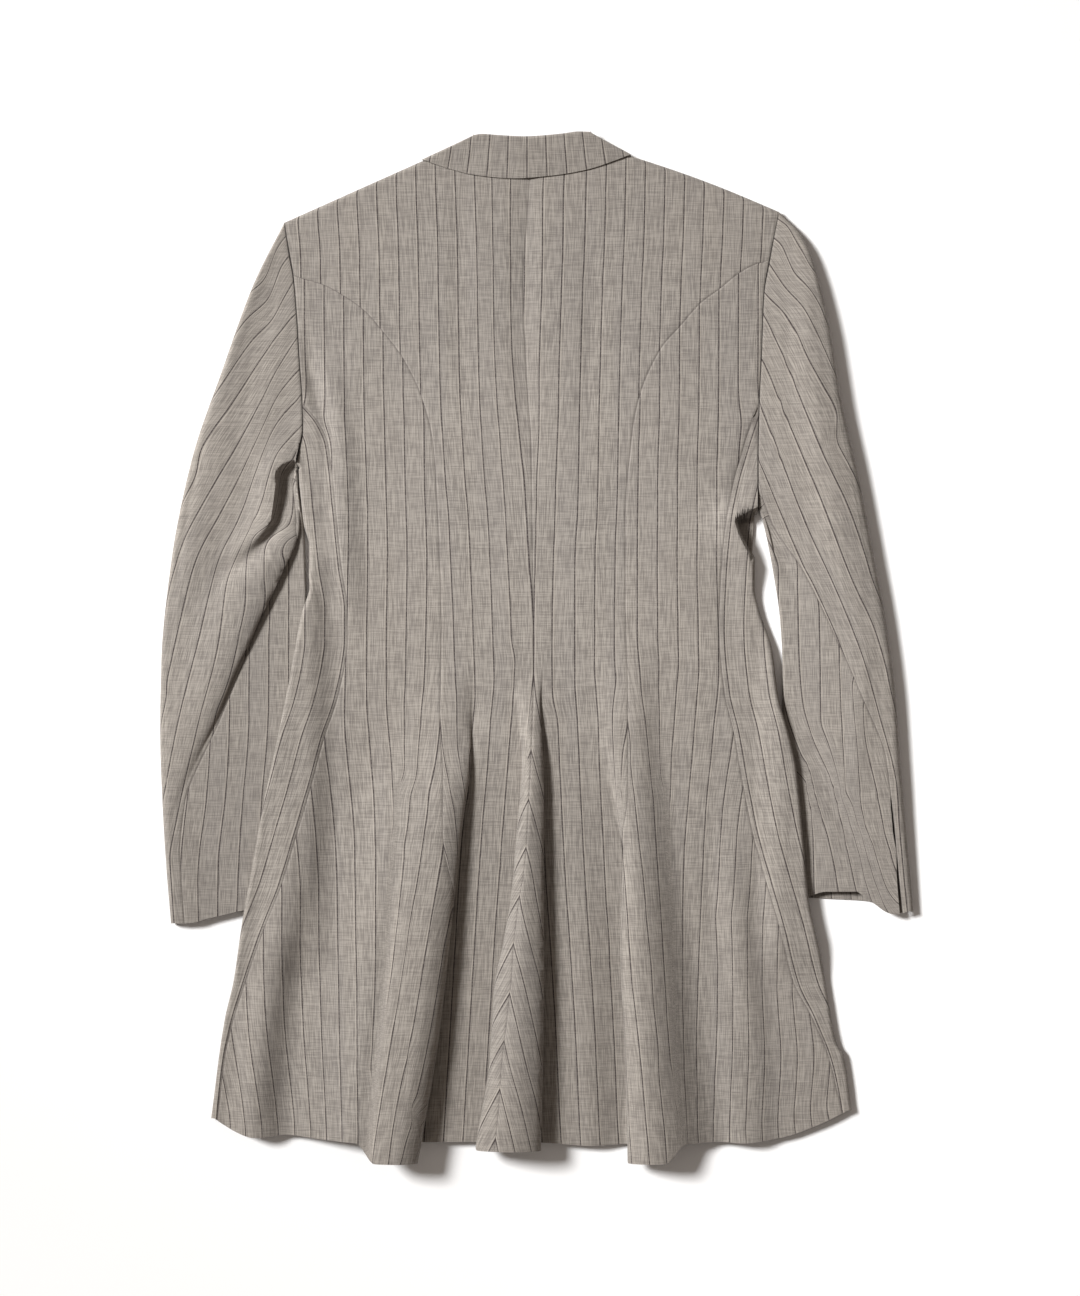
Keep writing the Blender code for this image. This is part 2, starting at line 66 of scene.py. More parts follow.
def read(columns, name, at, key="y"):
    # a value along the key column, by a curve that doesn't overshoot its rows
    keys, values = columns[key], columns[name]
    if keys[0] > keys[-1]:
        keys, values = keys[::-1], values[::-1]
    gaps = np.diff(keys)
    slopes = np.diff(values) / gaps
    product, total = slopes[:-1] * slopes[1:], slopes[:-1] + slopes[1:]
    inner = np.where(product > 0, 2 * product / np.where(total == 0, 1, total), 0)
    tangents = np.concatenate((slopes[:1], inner, slopes[-1:]))
    at = np.clip(at, keys[0], keys[-1])
    i = np.clip(np.searchsorted(keys, at, side="right") - 1, 0, len(gaps) - 1)
    t = (at - keys[i]) / gaps[i]
    return (values[i] * (1 + 2 * t) * (1 - t) ** 2 + gaps[i] * tangents[i] * t * (1 - t) ** 2
            + values[i + 1] * t * t * (3 - 2 * t) - gaps[i] * tangents[i + 1] * t * t * (1 - t))


def ease(t):
    t = np.clip(t, 0, 1)
    return t * t * (3 - 2 * t)


def mix(a, b, t):
    return a + (b - a) * t


# The cut of each side of the body, from the shoulder down to the hem
sides = {
    "left": {
        "sign": -1, "junction": 309.5,
        "shoulder": table("x y", (-6, 402), (-30, 403), (-60, 404), (-97, 404.5), (-210, 354)),
        "armhole": table("y x", (354, -210), (327, -206), (310, -203), (275, -200), (240, -198),
            (203, -195.5), (180, -195), (162, -198), (154, -200)),
        "princess": table("y x", (309.5, -203), (307, -196), (302, -179), (293, -162), (281, -145),
            (262, -128), (239, -111), (204, -95), (170, -87), (110, -83), (15, -80), (-56, -81),
            (-110, -78.5), (-168, -78.5), (-212, -79.5), (-230, -80.3), (-255, -83), (-320, -91),
            (-407, -105.5), (-430, -109.5)),
        "side": table("y x", (203, -195.5), (185, -181), (168, -174), (116, -168), (67, -163), (31, -158),
            (5, -158), (-12, -160), (-44, -167), (-74, -177), (-115, -188), (-156, -200), (-196, -212),
            (-234, -227), (-277, -242), (-317, -254), (-348, -260), (-415, -266.5)),
        "edge": table("y x", (154, -200), (123, -197), (100, -194), (85, -190), (50, -190), (28, -196),
            (-31, -207), (-70, -215), (-131, -228), (-193, -239), (-220, -244), (-279, -253), (-311, -260),
            (-346, -265), (-415, -272)),
        "neckline": table("y x", (406, -97), (360, -88), (310, -70), (268, -42), (230, -5), (203, -3.6))},
    "right": {
        "sign": 1, "junction": 321.5,
        "shoulder": table("x y", (-6, 402), (20, 403), (48, 405), (78, 409), (200, 363)),
        "bow": 2.2,
        "armhole": table("y x", (363, 200), (342, 196), (322, 192.5), (295, 188), (245, 186), (203, 184),
            (155, 183), (116, 183)),
        "princess": table("y x", (321.5, 192.4), (319.5, 183), (311, 167), (298, 151), (287, 136),
            (269, 120), (248, 102), (210, 85), (181, 79), (106, 73), (40, 73), (-44, 75), (-119, 75),
            (-154, 73), (-177, 75), (-210, 76), (-252, 75.5), (-340, 80), (-410, 81.5), (-430, 82.5)),
        "side": table("y x", (203, 184), (193, 180), (165, 171), (137, 163), (102, 156), (48, 152),
            (15, 151), (-35, 155), (-70, 163), (-115, 171), (-155, 179), (-195, 190), (-230, 200),
            (-280, 213), (-307, 226), (-349, 242), (-415, 254)),
        "edge": table("y x", (116, 183), (106, 183), (72, 181), (49, 181), (30, 185), (0, 195), (-39, 200),
            (-73, 209), (-100, 215), (-160, 221), (-207, 225), (-264, 237), (-295, 242), (-336, 249),
            (-349, 255), (-415, 262)),
        "neckline": table("y x", (410, 78), (360, 69), (310, 51), (268, 29), (230, -1), (203, -2.4))}}

body = {
    "centre": table("y x", (402, -6), (340, -9.5), (306, -12), (256, -10.5), (206, -8), (173, -5.5),
        (73, -4), (6, -3), (-21, -3), (-60, -4.2), (-100, -5.8), (-126, -7.2), (-166, -9.3), (-206, -13),
        (-245, -16.4), (-286, -20), (-325, -23.1), (-365, -26.5), (-406, -31.1), (-431, -33.5)),
    "hem": table("x y", (-275, -386), (-262, -396), (-250, -401), (-235, -404), (-208, -405), (-180, -408),
        (-148, -410), (-55, -411), (0, -411), (42, -414), (74, -413), (146, -411), (199, -408), (231, -398),
        (262, -383)),
    "hemY": -412, "seamTop": 203, "firstLevel": 321.5, "rowStep": 2.4, "overSleeve": 6.1,
    "closeSpan": 14, "closeRows": 26, "yokeStep": 2.6, "underHem": 8,
    "neckColumns": 34, "shoulderColumns": 62, "sideColumns": 80, "turnRows": 6}
lowestTop = 2.5 * clothThick      # least height of the upper side, so that the shell keeps off the floor

# Flares and soft folds of the back, and how far the hem dips under each
softHem = {"hemLeft": (0, 30), "hemRight": (0, 30), "fullness": 1}
backFolds = {
    "leftFlare": {
        "dip": 16.5, "hemLeft": (20, 16), "fullness": 1.7, "leftFullness": 1.0,
        "rows": foldRows((-10, -74, -120, -52, 0, 0, 0, 0), (-60, -71, -130, -53, 4, 0, 2, 0),
            (-96, -70.5, -150, -56.5, 10, 0, 5, 2), (-142, -78.5, -172, -66.5, 16, 0, 9, 3),
            (-184, -83.5, -186, -72.5, 18.5, 0, 10, 3.5), (-255, -92.2, -200, -81.2, 22, 0, 11, 4),
            (-320, -99.6, -208, -88.6, 23.5, 0, 11, 4), (-407, -113.8, -218, -102.8, 25, 0, 11, 4),
            (-430, -118, -220, -107, 25, 0, 11, 4))},
    "centreFlare": {
        "dip": 5.5, "fullness": 1.8, "leftFullness": 1.8,
        "rows": foldRows((-20, -3, -24, 6, 0, 0, 0, 0), (-45, -3.2, -20, 2, 4, 0, 2, 1),
            (-60, -3.4, -16, 0.6, 7, 0.5, 3.6, 2), (-100, -4, -13, 0.8, 13, 2, 6, 3),
            (-150, -7, -15.5, -1, 16.5, 4, 8.4, 4.5), (-195, -9.5, -17, -1.5, 18.5, 6, 9.6, 5),
            (-245, -11.5, -23, -2.5, 20.5, 9, 10.9, 5.5), (-278, -13.5, -29, -3, 22, 11, 12, 6),
            (-349, -16.5, -35, -4, 24, 11, 12.5, 6), (-410, -21, -46, -5, 25, 12, 13, 6),
            (-430, -22, -49, -5, 25, 12, 13, 6))},
    "rightFlare": {
        "dip": 15, "hemRight": (10, 19), "fullness": 1.05, "leftFullness": 1.6,
        "rows": foldRows((20, 82, 40, 104, 0, 0, 0), (-60, 79, 46, 105, 4, 0, 0),
            (-119, 81, 60, 112, 7, 0.5, 0), (-154, 82, 68, 118, 9, 2.5, 0),
            (-177, 82, 74, 121, 10.5, 5.7, 0), (-210, 84, 74, 126, 12.5, 7.4, 0),
            (-252, 85, 73, 132, 14.8, 8.3, 0), (-340, 90, 77, 145, 18, 8.5, 0),
            (-430, 96, 79, 158, 20, 9.6, 0))},
    "leftHip": {
        **softHem, "dip": 3,
        "rows": foldRows((-100, -200, -225, -170, 0), (-220, -212, -238, -182, 5),
            (-320, -228, -256, -196, 7), (-430, -238, -266, -205, 8))},
    "rightHip": {
        **softHem, "dip": 2,
        "rows": foldRows((-140, 162, 140, 185, 0), (-240, 165, 138, 192, 5), (-340, 172, 145, 200, 5),
            (-430, 176, 150, 204, 5))},
    "leftWaist": {
        **softHem, "dip": 0,
        "rows": foldRows((250, -178, -190, -160, 0), (180, -166, -182, -148, 3), (80, -160, -178, -142, 3),
            (0, -154, -172, -136, 0))}}

# Small creases of the back, each from its top down
backCreases = {
    "footLeftFlare": crease((-113, -110, 0, 10, 10), (-118, -190, -1.6, 9, 7), (-129, -290, -3, 8, 5),
        (-137, -360, -3.4, 8, 5), (-142, -430, -3.4, 8, 5)),
    "footRightFlare": crease((66, -170, 0, 12, 4), (68, -240, -1.4, 14, 4), (71, -330, -2, 14, 4),
        (72, -430, -2, 14, 4)),
    "centreValley": crease((-6, 402, -0.6, 9, 8), (-7, 370, -1.5, 11, 9), (-9.5, 320, -1.9, 12, 9),
        (-11, 270, -1.9, 12, 9), (-8, 210, -1.4, 11, 8), (-5, 160, -0.6, 9, 8), (-4, 120, 0, 8, 8)),
    "yokeSoftLeft": crease((-66, 380, 0, 10, 10), (-66, 330, -0.9, 10, 10), (-63, 260, -0.9, 10, 10),
        (-60, 190, 0, 10, 10)),
    "yokeSoftRight": crease((48, 370, 0, 9, 10), (46, 310, -0.9, 9, 10), (42, 230, -0.9, 9, 10),
        (40, 160, 0, 9, 10)),
    "armholeDragLeft": crease((-197, 262, 0, 8, 6), (-192, 250, -1.6, 7, 7), (-188, 228, -2.4, 6, 8),
        (-183, 205, -2.6, 6, 9), (-176, 188, -2.2, 6, 9), (-172, 160, -1.2, 6, 10), (-170, 130, 0, 6, 10)),
    "armpitRollLeft": crease((-198, 150, 0, 6, 10), (-191, 120, 1.8, 8, 12), (-183, 80, 1.6, 9, 12),
        (-176, 40, 1, 9, 12), (-172, 10, 0, 8, 10)),
    "waistDimpleLeft": crease((-190, 62, 0, 5, 6), (-184, 50, -1.6, 6, 6), (-176, 34, -1.6, 6, 6),
        (-168, 20, 0, 5, 6)),
    "armpitRimRight": crease((184, 118, 3, 14, 1.5), (174, 112, 6, 16, 1.5), (163.5, 105.5, 8, 18, 1.5),
        (168, 93.5, 8, 19, 1.5), (174.5, 81, 7, 18, 1.5), (178, 71, 5, 16, 1.5), (181, 53, 2, 12, 2),
        (183, 36, 0, 10, 2)),
    "armpitLedgeRight": crease((185, 113, -4, 1.5, 26), (176, 107.5, -7, 1.5, 30), (168, 102, -8.5, 1.5, 30),
        (172, 91.5, -8.5, 1.5, 26), (177.5, 79.5, -7, 1.5, 20), (180.5, 69, -5, 1.5, 14),
        (183, 52, -2, 1.5, 8), (185, 36, 0, 1.5, 6)),
    "sideDragRight": crease((183, 190, 0, 8, 5), (177, 170, -1.2, 8, 5), (170, 146, -1.6, 8, 6),
        (163, 122, -1, 8, 6), (158, 100, 0, 8, 6)),
    "waistSoftRight": crease((160, 90, 0, 10, 12), (158, 40, -1.2, 10, 12), (162, -20, -1, 10, 12),
        (168, -70, 0, 10, 12)),
    "princessSoftLeft": crease((-62, -20, 0, 16, 10), (-54, -50, -1.6, 16, 10), (-64, -84, -1, 12, 8),
        (-70, -110, 0, 10, 8)),
    "skirtValleyLeft": crease((-186, -190, 0, 14, 16), (-196, -250, -2, 12, 16), (-208, -310, -2.6, 12, 16),
        (-216, -385, -2, 12, 16)),
    "skirtRippleRight": crease((138, -170, 0, 8, 10), (150, -230, -1.6, 8, 10), (160, -290, -2, 8, 10),
        (172, -345, -1.4, 8, 10), (176, -395, -0.8, 8, 10)),
    "skirtRidgeMiddle": crease((30, -60, 0, 14, 14), (34, -160, 1.2, 14, 14), (40, -280, 1.8, 13, 14),
        (46, -410, 2, 12, 14))}

# Where a sleeve lies under the left and the right edge of the body
underlaps = {
    -1: {"inner": -192, "liftFrom": 95, "fullFrom": 48, "fullTo": -240, "liftTo": -285, "ramp": 26},
    1: {"inner": 204, "liftFrom": 20, "fullFrom": -26, "fullTo": -236, "liftTo": -280, "ramp": 26}}


def stepped(rows):
    # a table that can be read by the number of its rows
    return dict(rows, step=np.arange(len(next(iter(rows.values()))), dtype=float))


def pathOf(rows, count=26):
    line = stepped(rows)
    at = np.linspace(0, line["step"][-1], count)
    return {name: read(line, name, at, "step") for name in rows}


def creaseRise(x, y, rows):
    # height of one crease: it fades away from its path, at its own rate on each side
    path = pathOf(rows)
    reach = 2.6 * max(rows["left"].max(), rows["right"].max())
    near = ((x > path["x"].min() - reach) & (x < path["x"].max() + reach)
            & (y > path["y"].min() - reach) & (y < path["y"].max() + reach))
    rise = np.zeros(x.shape)
    px, py = x[near], y[near]
    best, value = np.full(px.shape, 1e9), np.zeros(px.shape)
    for i in range(len(path["x"]) - 1):
        ax, ay, bx, by = path["x"][i], path["y"][i], path["x"][i + 1], path["y"][i + 1]
        dx, dy = bx - ax, by - ay
        t = np.clip(((px - ax) * dx + (py - ay) * dy) / (dx * dx + dy * dy), 0, 1)
        ox, oy = px - ax - t * dx, py - ay - t * dy
        away = np.hypot(ox, oy)
        onRight = dx * oy - dy * ox > 0          # the path runs down, so the picture's right is on its left
        width = np.where(onRight, mix(path["right"][i], path["right"][i + 1], t),
                         mix(path["left"][i], path["left"][i + 1], t))
        height = mix(path["height"][i], path["height"][i + 1], t) * np.exp(-(away / width) ** 2)
        nearer = away < best
        best, value = np.where(nearer, away, best), np.where(nearer, height, value)
    rise[near] = value
    return rise


def pressCreases(points, creases, share=1.0):
    for rows in creases.values():
        points[..., 2] += share * creaseRise(points[..., 0], points[..., 1], rows)


def crestShare(fold, x, y):
    # 1 on the fold's crest, 0 beyond its feet
    rows = fold["rows"]
    crest = read(rows, "crest", y)
    foot = np.where(x < crest, read(rows, "left", y), read(rows, "right", y))
    away = np.minimum(np.abs((x - crest) / (foot - crest)), 1)
    fullness = np.where(x < crest, fold.get("leftFullness", fold["fullness"]), fold["fullness"])
    return (1 + np.cos(np.pi * away ** fullness)) / 2


def folded(x, y, folds):
    rise, shift = np.zeros(x.shape), np.zeros(x.shape)
    for fold in folds.values():
        rows = fold["rows"]
        share = crestShare(fold, x, y)
        onLeft = x < read(rows, "crest", y)
        rise += read(rows, "height", y) * share
        if "fall" in rows:
            # to the right of a flare the cloth sinks away from it, fast at first and then slowly
            beyond = np.maximum(x - read(rows, "right", y), 0)
            sinking = 0.45 * np.exp(-(beyond / 17) ** 2) + 0.55 * np.exp(-(beyond / 46) ** 2)
            rise += read(rows, "fall", y) * np.where(onLeft, 0, (1 - share) * sinking)
        if "tuckLeft" in rows:
            tuck = np.where(onLeft, -read(rows, "tuckLeft", y), read(rows, "tuckRight", y))
            shift += tuck * 4 * share * (1 - share)
    return rise, shift


def hemShare(fold, x, y):
    # how far the hem drops under a flare: it stops short at a tucked side and runs out on a soft one
    crest, share = read(fold["rows"], "crest", y), crestShare(fold, x, y)
    sharp = ease((share - 0.2) / 0.3)
    shares = []
    for name, away in (("hemLeft", crest - x), ("hemRight", x - crest)):
        flat, fall = fold.get(name, (0, 0))
        shares.append(1 - ease((away - flat) / fall) if fall else sharp)
    return np.where(x < crest, *shares)


def floorHeight(x, y):
    height = np.zeros(x.shape)
    for sign, lap in underlaps.items():
        across = ease(1 - sign * (lap["inner"] - x) / lap["ramp"])
        above = ease((lap["liftFrom"] - y) / (lap["liftFrom"] - lap["fullFrom"]))
        below = ease((y - lap["liftTo"]) / (lap["fullTo"] - lap["liftTo"]))
        height = np.maximum(height, body["overSleeve"] * across * above * below)
    return height


def hemShift(x, down):
    drop = read(body["hem"], "y", x, "x") - body["hemY"]
    level = np.full(x.shape, float(body["hemY"]))
    for fold in backFolds.values():
        drop = drop - fold["dip"] * hemShare(fold, x, level)
    return drop * down ** 7


def backPoint(x, y):
    x, y = np.broadcast_arrays(np.asarray(x, float), np.asarray(y, float))
    rise, shift = folded(x, y, backFolds)
    return np.stack((x + shift, y, floorHeight(x, y) + loft + rise), axis=-1)


def crowded(count, crowd=0.65):
    # shares of a width, closer together at both ends
    t = np.linspace(0, 1, count + 1)
    return t - crowd * np.sin(2 * np.pi * t) / (2 * np.pi)


def bodyLevels(side):
    # level rows, close together where the princess seam starts, and how far down to the hem each is
    junction, top, step = side["junction"], body["firstLevel"], body["rowStep"]
    below = junction - body["closeSpan"]
    count = max(2, int((top - junction) / step) + 1)
    start = np.linspace(top, junction, count)[:-1] if top > junction else []
    close = np.linspace(junction, below, body["closeRows"])[:-1]
    rest = np.linspace(below, body["seamTop"], int((below - body["seamTop"]) / step))[:-1]
    upper = np.concatenate((start, close, rest))
    down = np.linspace(0, 1, int((body["seamTop"] - body["hemY"]) / step) + 1)
    skirt = mix(body["seamTop"], body["hemY"], down)
    return np.concatenate((upper, skirt)), np.concatenate((np.zeros(len(upper)), down))


def shoulderLine(side):
    # places along the neck edge and then the shoulder, for each column from the centre back
    line, neck, rest = side["shoulder"], body["neckColumns"], body["shoulderColumns"]
    share = np.linspace(0, 1, rest + 1)[1:]
    neckX = mix(line["x"][0], line["x"][-2], np.linspace(0, 1, neck + 1))
    x = np.concatenate((neckX, mix(line["x"][-2], line["x"][-1], share)))
    bowed = mix(line["y"][-2], line["y"][-1], share) + side.get("bow", 0) * np.sin(np.pi * share)
    y = np.concatenate((read(line, "y", neckX, "x"), bowed))
    rounded = np.arange(len(x)) >= neck          # the shoulder turns over, the neck edge doesn't
    return x, y, rounded


def shoulderRows(side, firstLevel, onBack):
    # rows that round over the shoulder and run down to the first level row
    x, y, rounded = shoulderLine(side)
    if not onBack:
        keep = slice(body["neckColumns"], None)
        x, y, rounded = x[keep], y[keep], rounded[keep]
    half, rows = loft / 2, []
    for turn in np.linspace(0, math.pi / 2, body["turnRows"]):
        inset = half * (1 - math.cos(turn))
        z = mix(loft, half + half * math.sin(turn), rounded)
        rows.append(np.stack((x, y - inset, z if onBack else loft - z), axis=-1))
    last = rows[-1]
    count = max(4, int((last[:, 1].max() - firstLevel[0, 1]) / body["yokeStep"]))
    for t in np.linspace(0, 1, count + 1)[1:-1]:
        row = mix(last, firstLevel, t)
        if onBack:
            row = backPoint(row[:, 0], row[:, 1])
        rows.append(row)
    return rows


def levelRows(y, down, inner, outer, columns):
    x = mix(inner[:, None], outer[:, None], crowded(columns))
    return backPoint(x, y[:, None] + hemShift(x, down[:, None]))


def backCentre(side):
    y, down = bodyLevels(side)
    outer = np.where(y > side["junction"], read(side["armhole"], "x", y), read(side["princess"], "x", y))
    columns = body["neckColumns"] + body["shoulderColumns"]
    levels = levelRows(y, down, read(body["centre"], "x", y), outer, columns)
    return np.concatenate((shoulderRows(side, levels[0], True), levels))


def backSide(side):
    y, down = bodyLevels(side)
    below = y < side["junction"] + 0.01
    y, down = y[below], down[below]
    outer = np.where(y > body["seamTop"], read(side["armhole"], "x", y), read(side["side"], "x", y))
    inner = read(side["princess"], "x", y)
    inner[0] = outer[0] - side["sign"] * 2
    return levelRows(y, down, inner, outer, body["sideColumns"])


frontGrid = {"strip": 26, "seamColumns": 20, "turn": 12, "under": 14, "levels": 24}


def frontLower(side):
    # strip beyond the side seam, turn at the body's edge, and the layer underneath
    sign, armpit = side["sign"], side["armhole"]["y"][-1]
    lap = underlaps[sign]
    strip, wrap = crowded(frontGrid["strip"]), np.linspace(0, math.pi, frontGrid["turn"] + 1)[1:]
    under = np.linspace(0, 1, frontGrid["under"] + 1)[1:]
    downs = np.linspace(0, 1, int((body["seamTop"] - body["hemY"]) / body["rowStep"]) + 1)
    topY = mix(body["seamTop"], armpit, strip)
    y = mix(topY, body["hemY"], downs[:, None])
    x = mix(read(side["side"], "x", y), read(side["edge"], "x", y) - sign * loft / 2, strip)
    x[0] = read(side["armhole"], "x", topY)
    strips = backPoint(x, y + hemShift(x, downs[:, None]))
    pressCreases(strips, backCreases)
    strips[..., 2] = np.maximum(strips[..., 2], lowestTop)
    counts = sign * (strips[..., 0] - read(side["side"], "x", strips[..., 1])) / stripeGap
    rows = []
    for down, row in zip(downs, strips):
        last = row[-1]
        bottom = floorHeight(last[:1], np.array([mix(armpit, body["hemY"], down)]))[0]
        middle, half = (last[2] + bottom) / 2, (last[2] - bottom) / 2
        # right at the armpit the turn points to the hem, and from just below it to the outside
        outward = math.pi / 2 * float(ease(down / 0.012))
        out, below = sign * math.sin(outward), -math.cos(outward)
        reach = min(half, loft / 2)
        turned = np.stack((last[0] + out * reach * np.sin(wrap), last[1] + below * reach * np.sin(wrap),
                           middle + half * np.cos(wrap)), axis=-1)
        # the layer underneath comes down from the lifted edge before it reaches the centre front
        ends = np.array([last[0], lap["inner"], lap["inner"] - sign * lap["ramp"],
                         centreFront + sign * seamGap])
        for i in range(1, 4):
            ends[i] = sign * min(sign * ends[i], sign * ends[i - 1] - 2)
        underX = np.interp(under * 3, np.arange(4), ends)
        underY = mix(last[1], mix(armpit, body["hemY"] + body["underHem"], down), ease(2 * under))
        low = np.stack((underX, underY, floorHeight(underX, underY)), axis=-1)
        rows.append(np.concatenate((row, turned, low)))
    rows = np.array(rows)
    steps = np.linalg.norm(np.diff(rows[:, frontGrid["strip"]:], axis=1), axis=2)
    beyond = counts[:, -1:] + np.cumsum(steps, axis=1) / stripeGap
    return rows, np.concatenate((counts, beyond), axis=1)


def frontUpper(side, lower):
    # the front above the armpit lies on the floor, under the back
    armpit = side["armhole"]["y"][-1]
    across = np.linspace(0, 1, body["shoulderColumns"] + 1)
    join = lower[0][-frontGrid["under"] - 1:]
    share = np.linspace(0, 1, len(join))
    bottom = np.stack([np.interp(across, share, axis) for axis in join.T], axis=-1)[::-1]
    levels = []
    for y in np.linspace(body["firstLevel"], armpit + 24, frontGrid["levels"]):
        x = mix(read(side["neckline"], "x", y), read(side["armhole"], "x", y), across)
        levels.append(np.stack((x, np.full(x.shape, y), np.zeros(x.shape)), axis=-1))
    levels += [mix(levels[-1], bottom, t) for t in (0.25, 0.5, 0.75)]
    return np.array(shoulderRows(side, levels[0], False) + levels + [bottom])


print("body sizes read")

# Sleeves: outer and inner end of each flattened ring, place of the elbow seam from inner to outer, and loft
sleeves = {
    "left": {
        "sign": -1,
        "rows": table("outerX outerY innerX innerY seam loft puff", (-211, 354, -200.6, 153, 0.05, 7.0, 0),
            (-236, 303, -200, 146, 0.05, 7.2, 1.5), (-263, 229, -198.5, 130, 0.05, 7.0, 3),
            (-288, 155, -195, 108, 0.06, 6.4, 4), (-305, 70, -193, 75, 0.13, 5.4, 4),
            (-313, -10, -192, 30, 0.34, 5.4, 4), (-314, -70, -193, -40, 0.59, 5.4, 4),
            (-312, -131, -193, -115, 0.87, 5.4, 4), (-309, -180, -194, -165, 0.93, 5.4, 4),
            (-305, -227, -194, -213, 0.93, 5.4, 3)),
        "cuff": table("x y", (-305, -228), (-298, -229.5), (-288, -229), (-275, -225.5), (-260, -222),
            (-244, -219.5), (-194, -212)),
        "cuffTop": table("x y", (-305, -228), (-298, -229.5), (-288, -229), (-275, -225.5), (-260, -222),
            (-244, -218.5), (-194, -211)),
        "vent": table("y gap", (0, 0), (-230, 0)),
        "folds": {
            "elbow": {
                "fullness": 1.7, "leftFullness": 1.0,
                "rows": foldRows((135, -206, -250, -196, 0, 0, 0), (100, -208.5, -256, -199.5, 5.5, 0, 7),
                    (60, -228, -280, -219, 8, 0, 10), (19, -247, -302, -237, 7, 0, 8),
                    (-20, -264, -318, -252, 5.5, 0, 5), (-60, -281, -330, -266, 4.5, 0, 2.5),
                    (-92, -296, -343, -281, 3, 0, 1), (-123, -308, -350, -295, 1.5, 0, 0),
                    (-145, -312, -352, -302, 0, 0, 0))}},
        "creases": {
            "armpitLip": crease((-199, 156.5, 2, 12, 1.5), (-206, 155, 3.5, 14, 1.5),
                (-213, 151, 4.5, 15, 1.5), (-217.5, 145, 5.2, 16, 1.6), (-218, 133, 5.2, 17, 1.8),
                (-221, 108, 4.8, 16, 2.4), (-231, 93, 3.6, 14, 3.5), (-247, 80, 1.8, 12, 5),
                (-262, 73, 0, 8, 8)),
            "armpitHollow": crease((-201, 151.5, -3, 1.5, 12), (-207, 149.5, -4.5, 1.5, 16),
                (-212.5, 144.5, -5, 1.5, 19), (-213.5, 133, -5, 1.5, 18), (-216.5, 108, -3.2, 2, 14),
                (-227, 90, -2, 3, 9), (-240, 77, 0, 4, 6)),
            "elbowTrough": crease((-214, 100, 0, 6, 5), (-226, 86, -2.5, 8, 6), (-240, 74, -3, 9, 7),
                (-256, 66, -2.4, 9, 8), (-266, 52, -1.4, 9, 8), (-270, 30, 0, 8, 8)),
            "capSoft": crease((-214, 330, 0, 10, 10), (-226, 280, -1.2, 12, 12), (-238, 230, -1.6, 14, 12),
                (-246, 180, -1, 14, 12), (-250, 140, 0, 12, 12)),
            "outerRoll": crease((-262, 200, 0, 12, 12), (-276, 140, 1.2, 12, 14), (-288, 80, 1.4, 12, 16),
                (-296, 20, 1, 12, 14), (-300, -30, 0, 10, 12)),
            "cuffSoft": crease((-296, -120, 0, 10, 14), (-286, -150, -1, 12, 14), (-268, -190, -1, 12, 14),
                (-256, -222, 0, 12, 12))}},
    "right": {
        "sign": 1,
        "rows": table("outerX outerY innerX innerY seam loft puff", (201, 363, 184, 115, 0.04, 7.0, 0),
            (223, 337, 185, 112, 0.04, 7.2, 4), (240, 280, 187, 107, 0.04, 7.0, 6.5),
            (253, 205, 189, 99, 0.05, 6.6, 8), (266, 147, 192.5, 83, 0.11, 6.2, 8.5),
            (280, 75, 197, 58, 0.29, 5.8, 8.5), (291, 15, 202, 22, 0.48, 5.4, 8),
            (298, -40, 204, -20, 0.70, 5.4, 7.5), (302, -95, 204, -85, 0.93, 5.4, 7),
            (307, -150, 202, -145, 0.95, 5.0, 5.5), (313, -216, 200, -208, 0.95, 4.2, 4)),
        "cuff": table("x y", (200, -207.5), (229, -208.5), (249, -209.5), (269, -210.5), (280, -212.5),
            (290, -220), (297, -222), (310, -219)),
        "cuffTop": table("x y", (200, -209), (223, -208.5), (230, -205.5), (240, -203), (266, -203),
            (272, -208), (280, -213), (290, -220), (297, -222), (310, -219)),
        "vent": table("y gap", (-121, 0), (-127, 1.2), (-150, 1.8), (-160, 0.8), (-166, 0.1), (-171, 0.8),
            (-190, 2.2), (-218, 2.6)),
        "folds": {
            "cap": {
                "fullness": 1,
                "rows": foldRows((340, 222, 200, 240, 0), (250, 226, 205, 250, 3), (100, 250, 225, 275, 3),
                    (0, 275, 255, 295, 0))}},
        "creases": {
            "forearmTrough": crease((222, -66, 0, 9, 9), (232, -96, -1.8, 10, 9), (246, -128, -2.2, 11, 9),
                (262, -158, -1.6, 11, 9), (272, -176, 0, 9, 9)),
            "forearmRidge": crease((262, 30, 0, 14, 8), (270, -20, 1.6, 14, 8), (266, -80, 1.4, 12, 9),
                (262, -130, 0, 10, 9)),
            "cuffLift": crease((226, -170, 0, 14, 14), (232, -190, 0.8, 14, 16), (244, -204, 0.6, 14, 16),
                (262, -210, 0, 12, 14)),
            "armpitFall": crease((186, 112, 0, 5, 6), (196, 90, -1.6, 5, 9), (208, 66, -1.6, 5, 10),
                (222, 40, 0, 5, 10))}}}


# columns of a sleeve: the top from the elbow seam outwards, the turn at each edge, what lies underneath,
# and the top from the inner edge to the elbow seam
sleeveGrid = {"rings": 235, "top": 70, "turn": 12, "belowOuter": 16, "belowInner": 8, "inner": 44}
firstInner = sleeveGrid["belowInner"] + sleeveGrid["turn"] - 2
underSeam = 0.22      # place of the seam underneath, from the inner edge


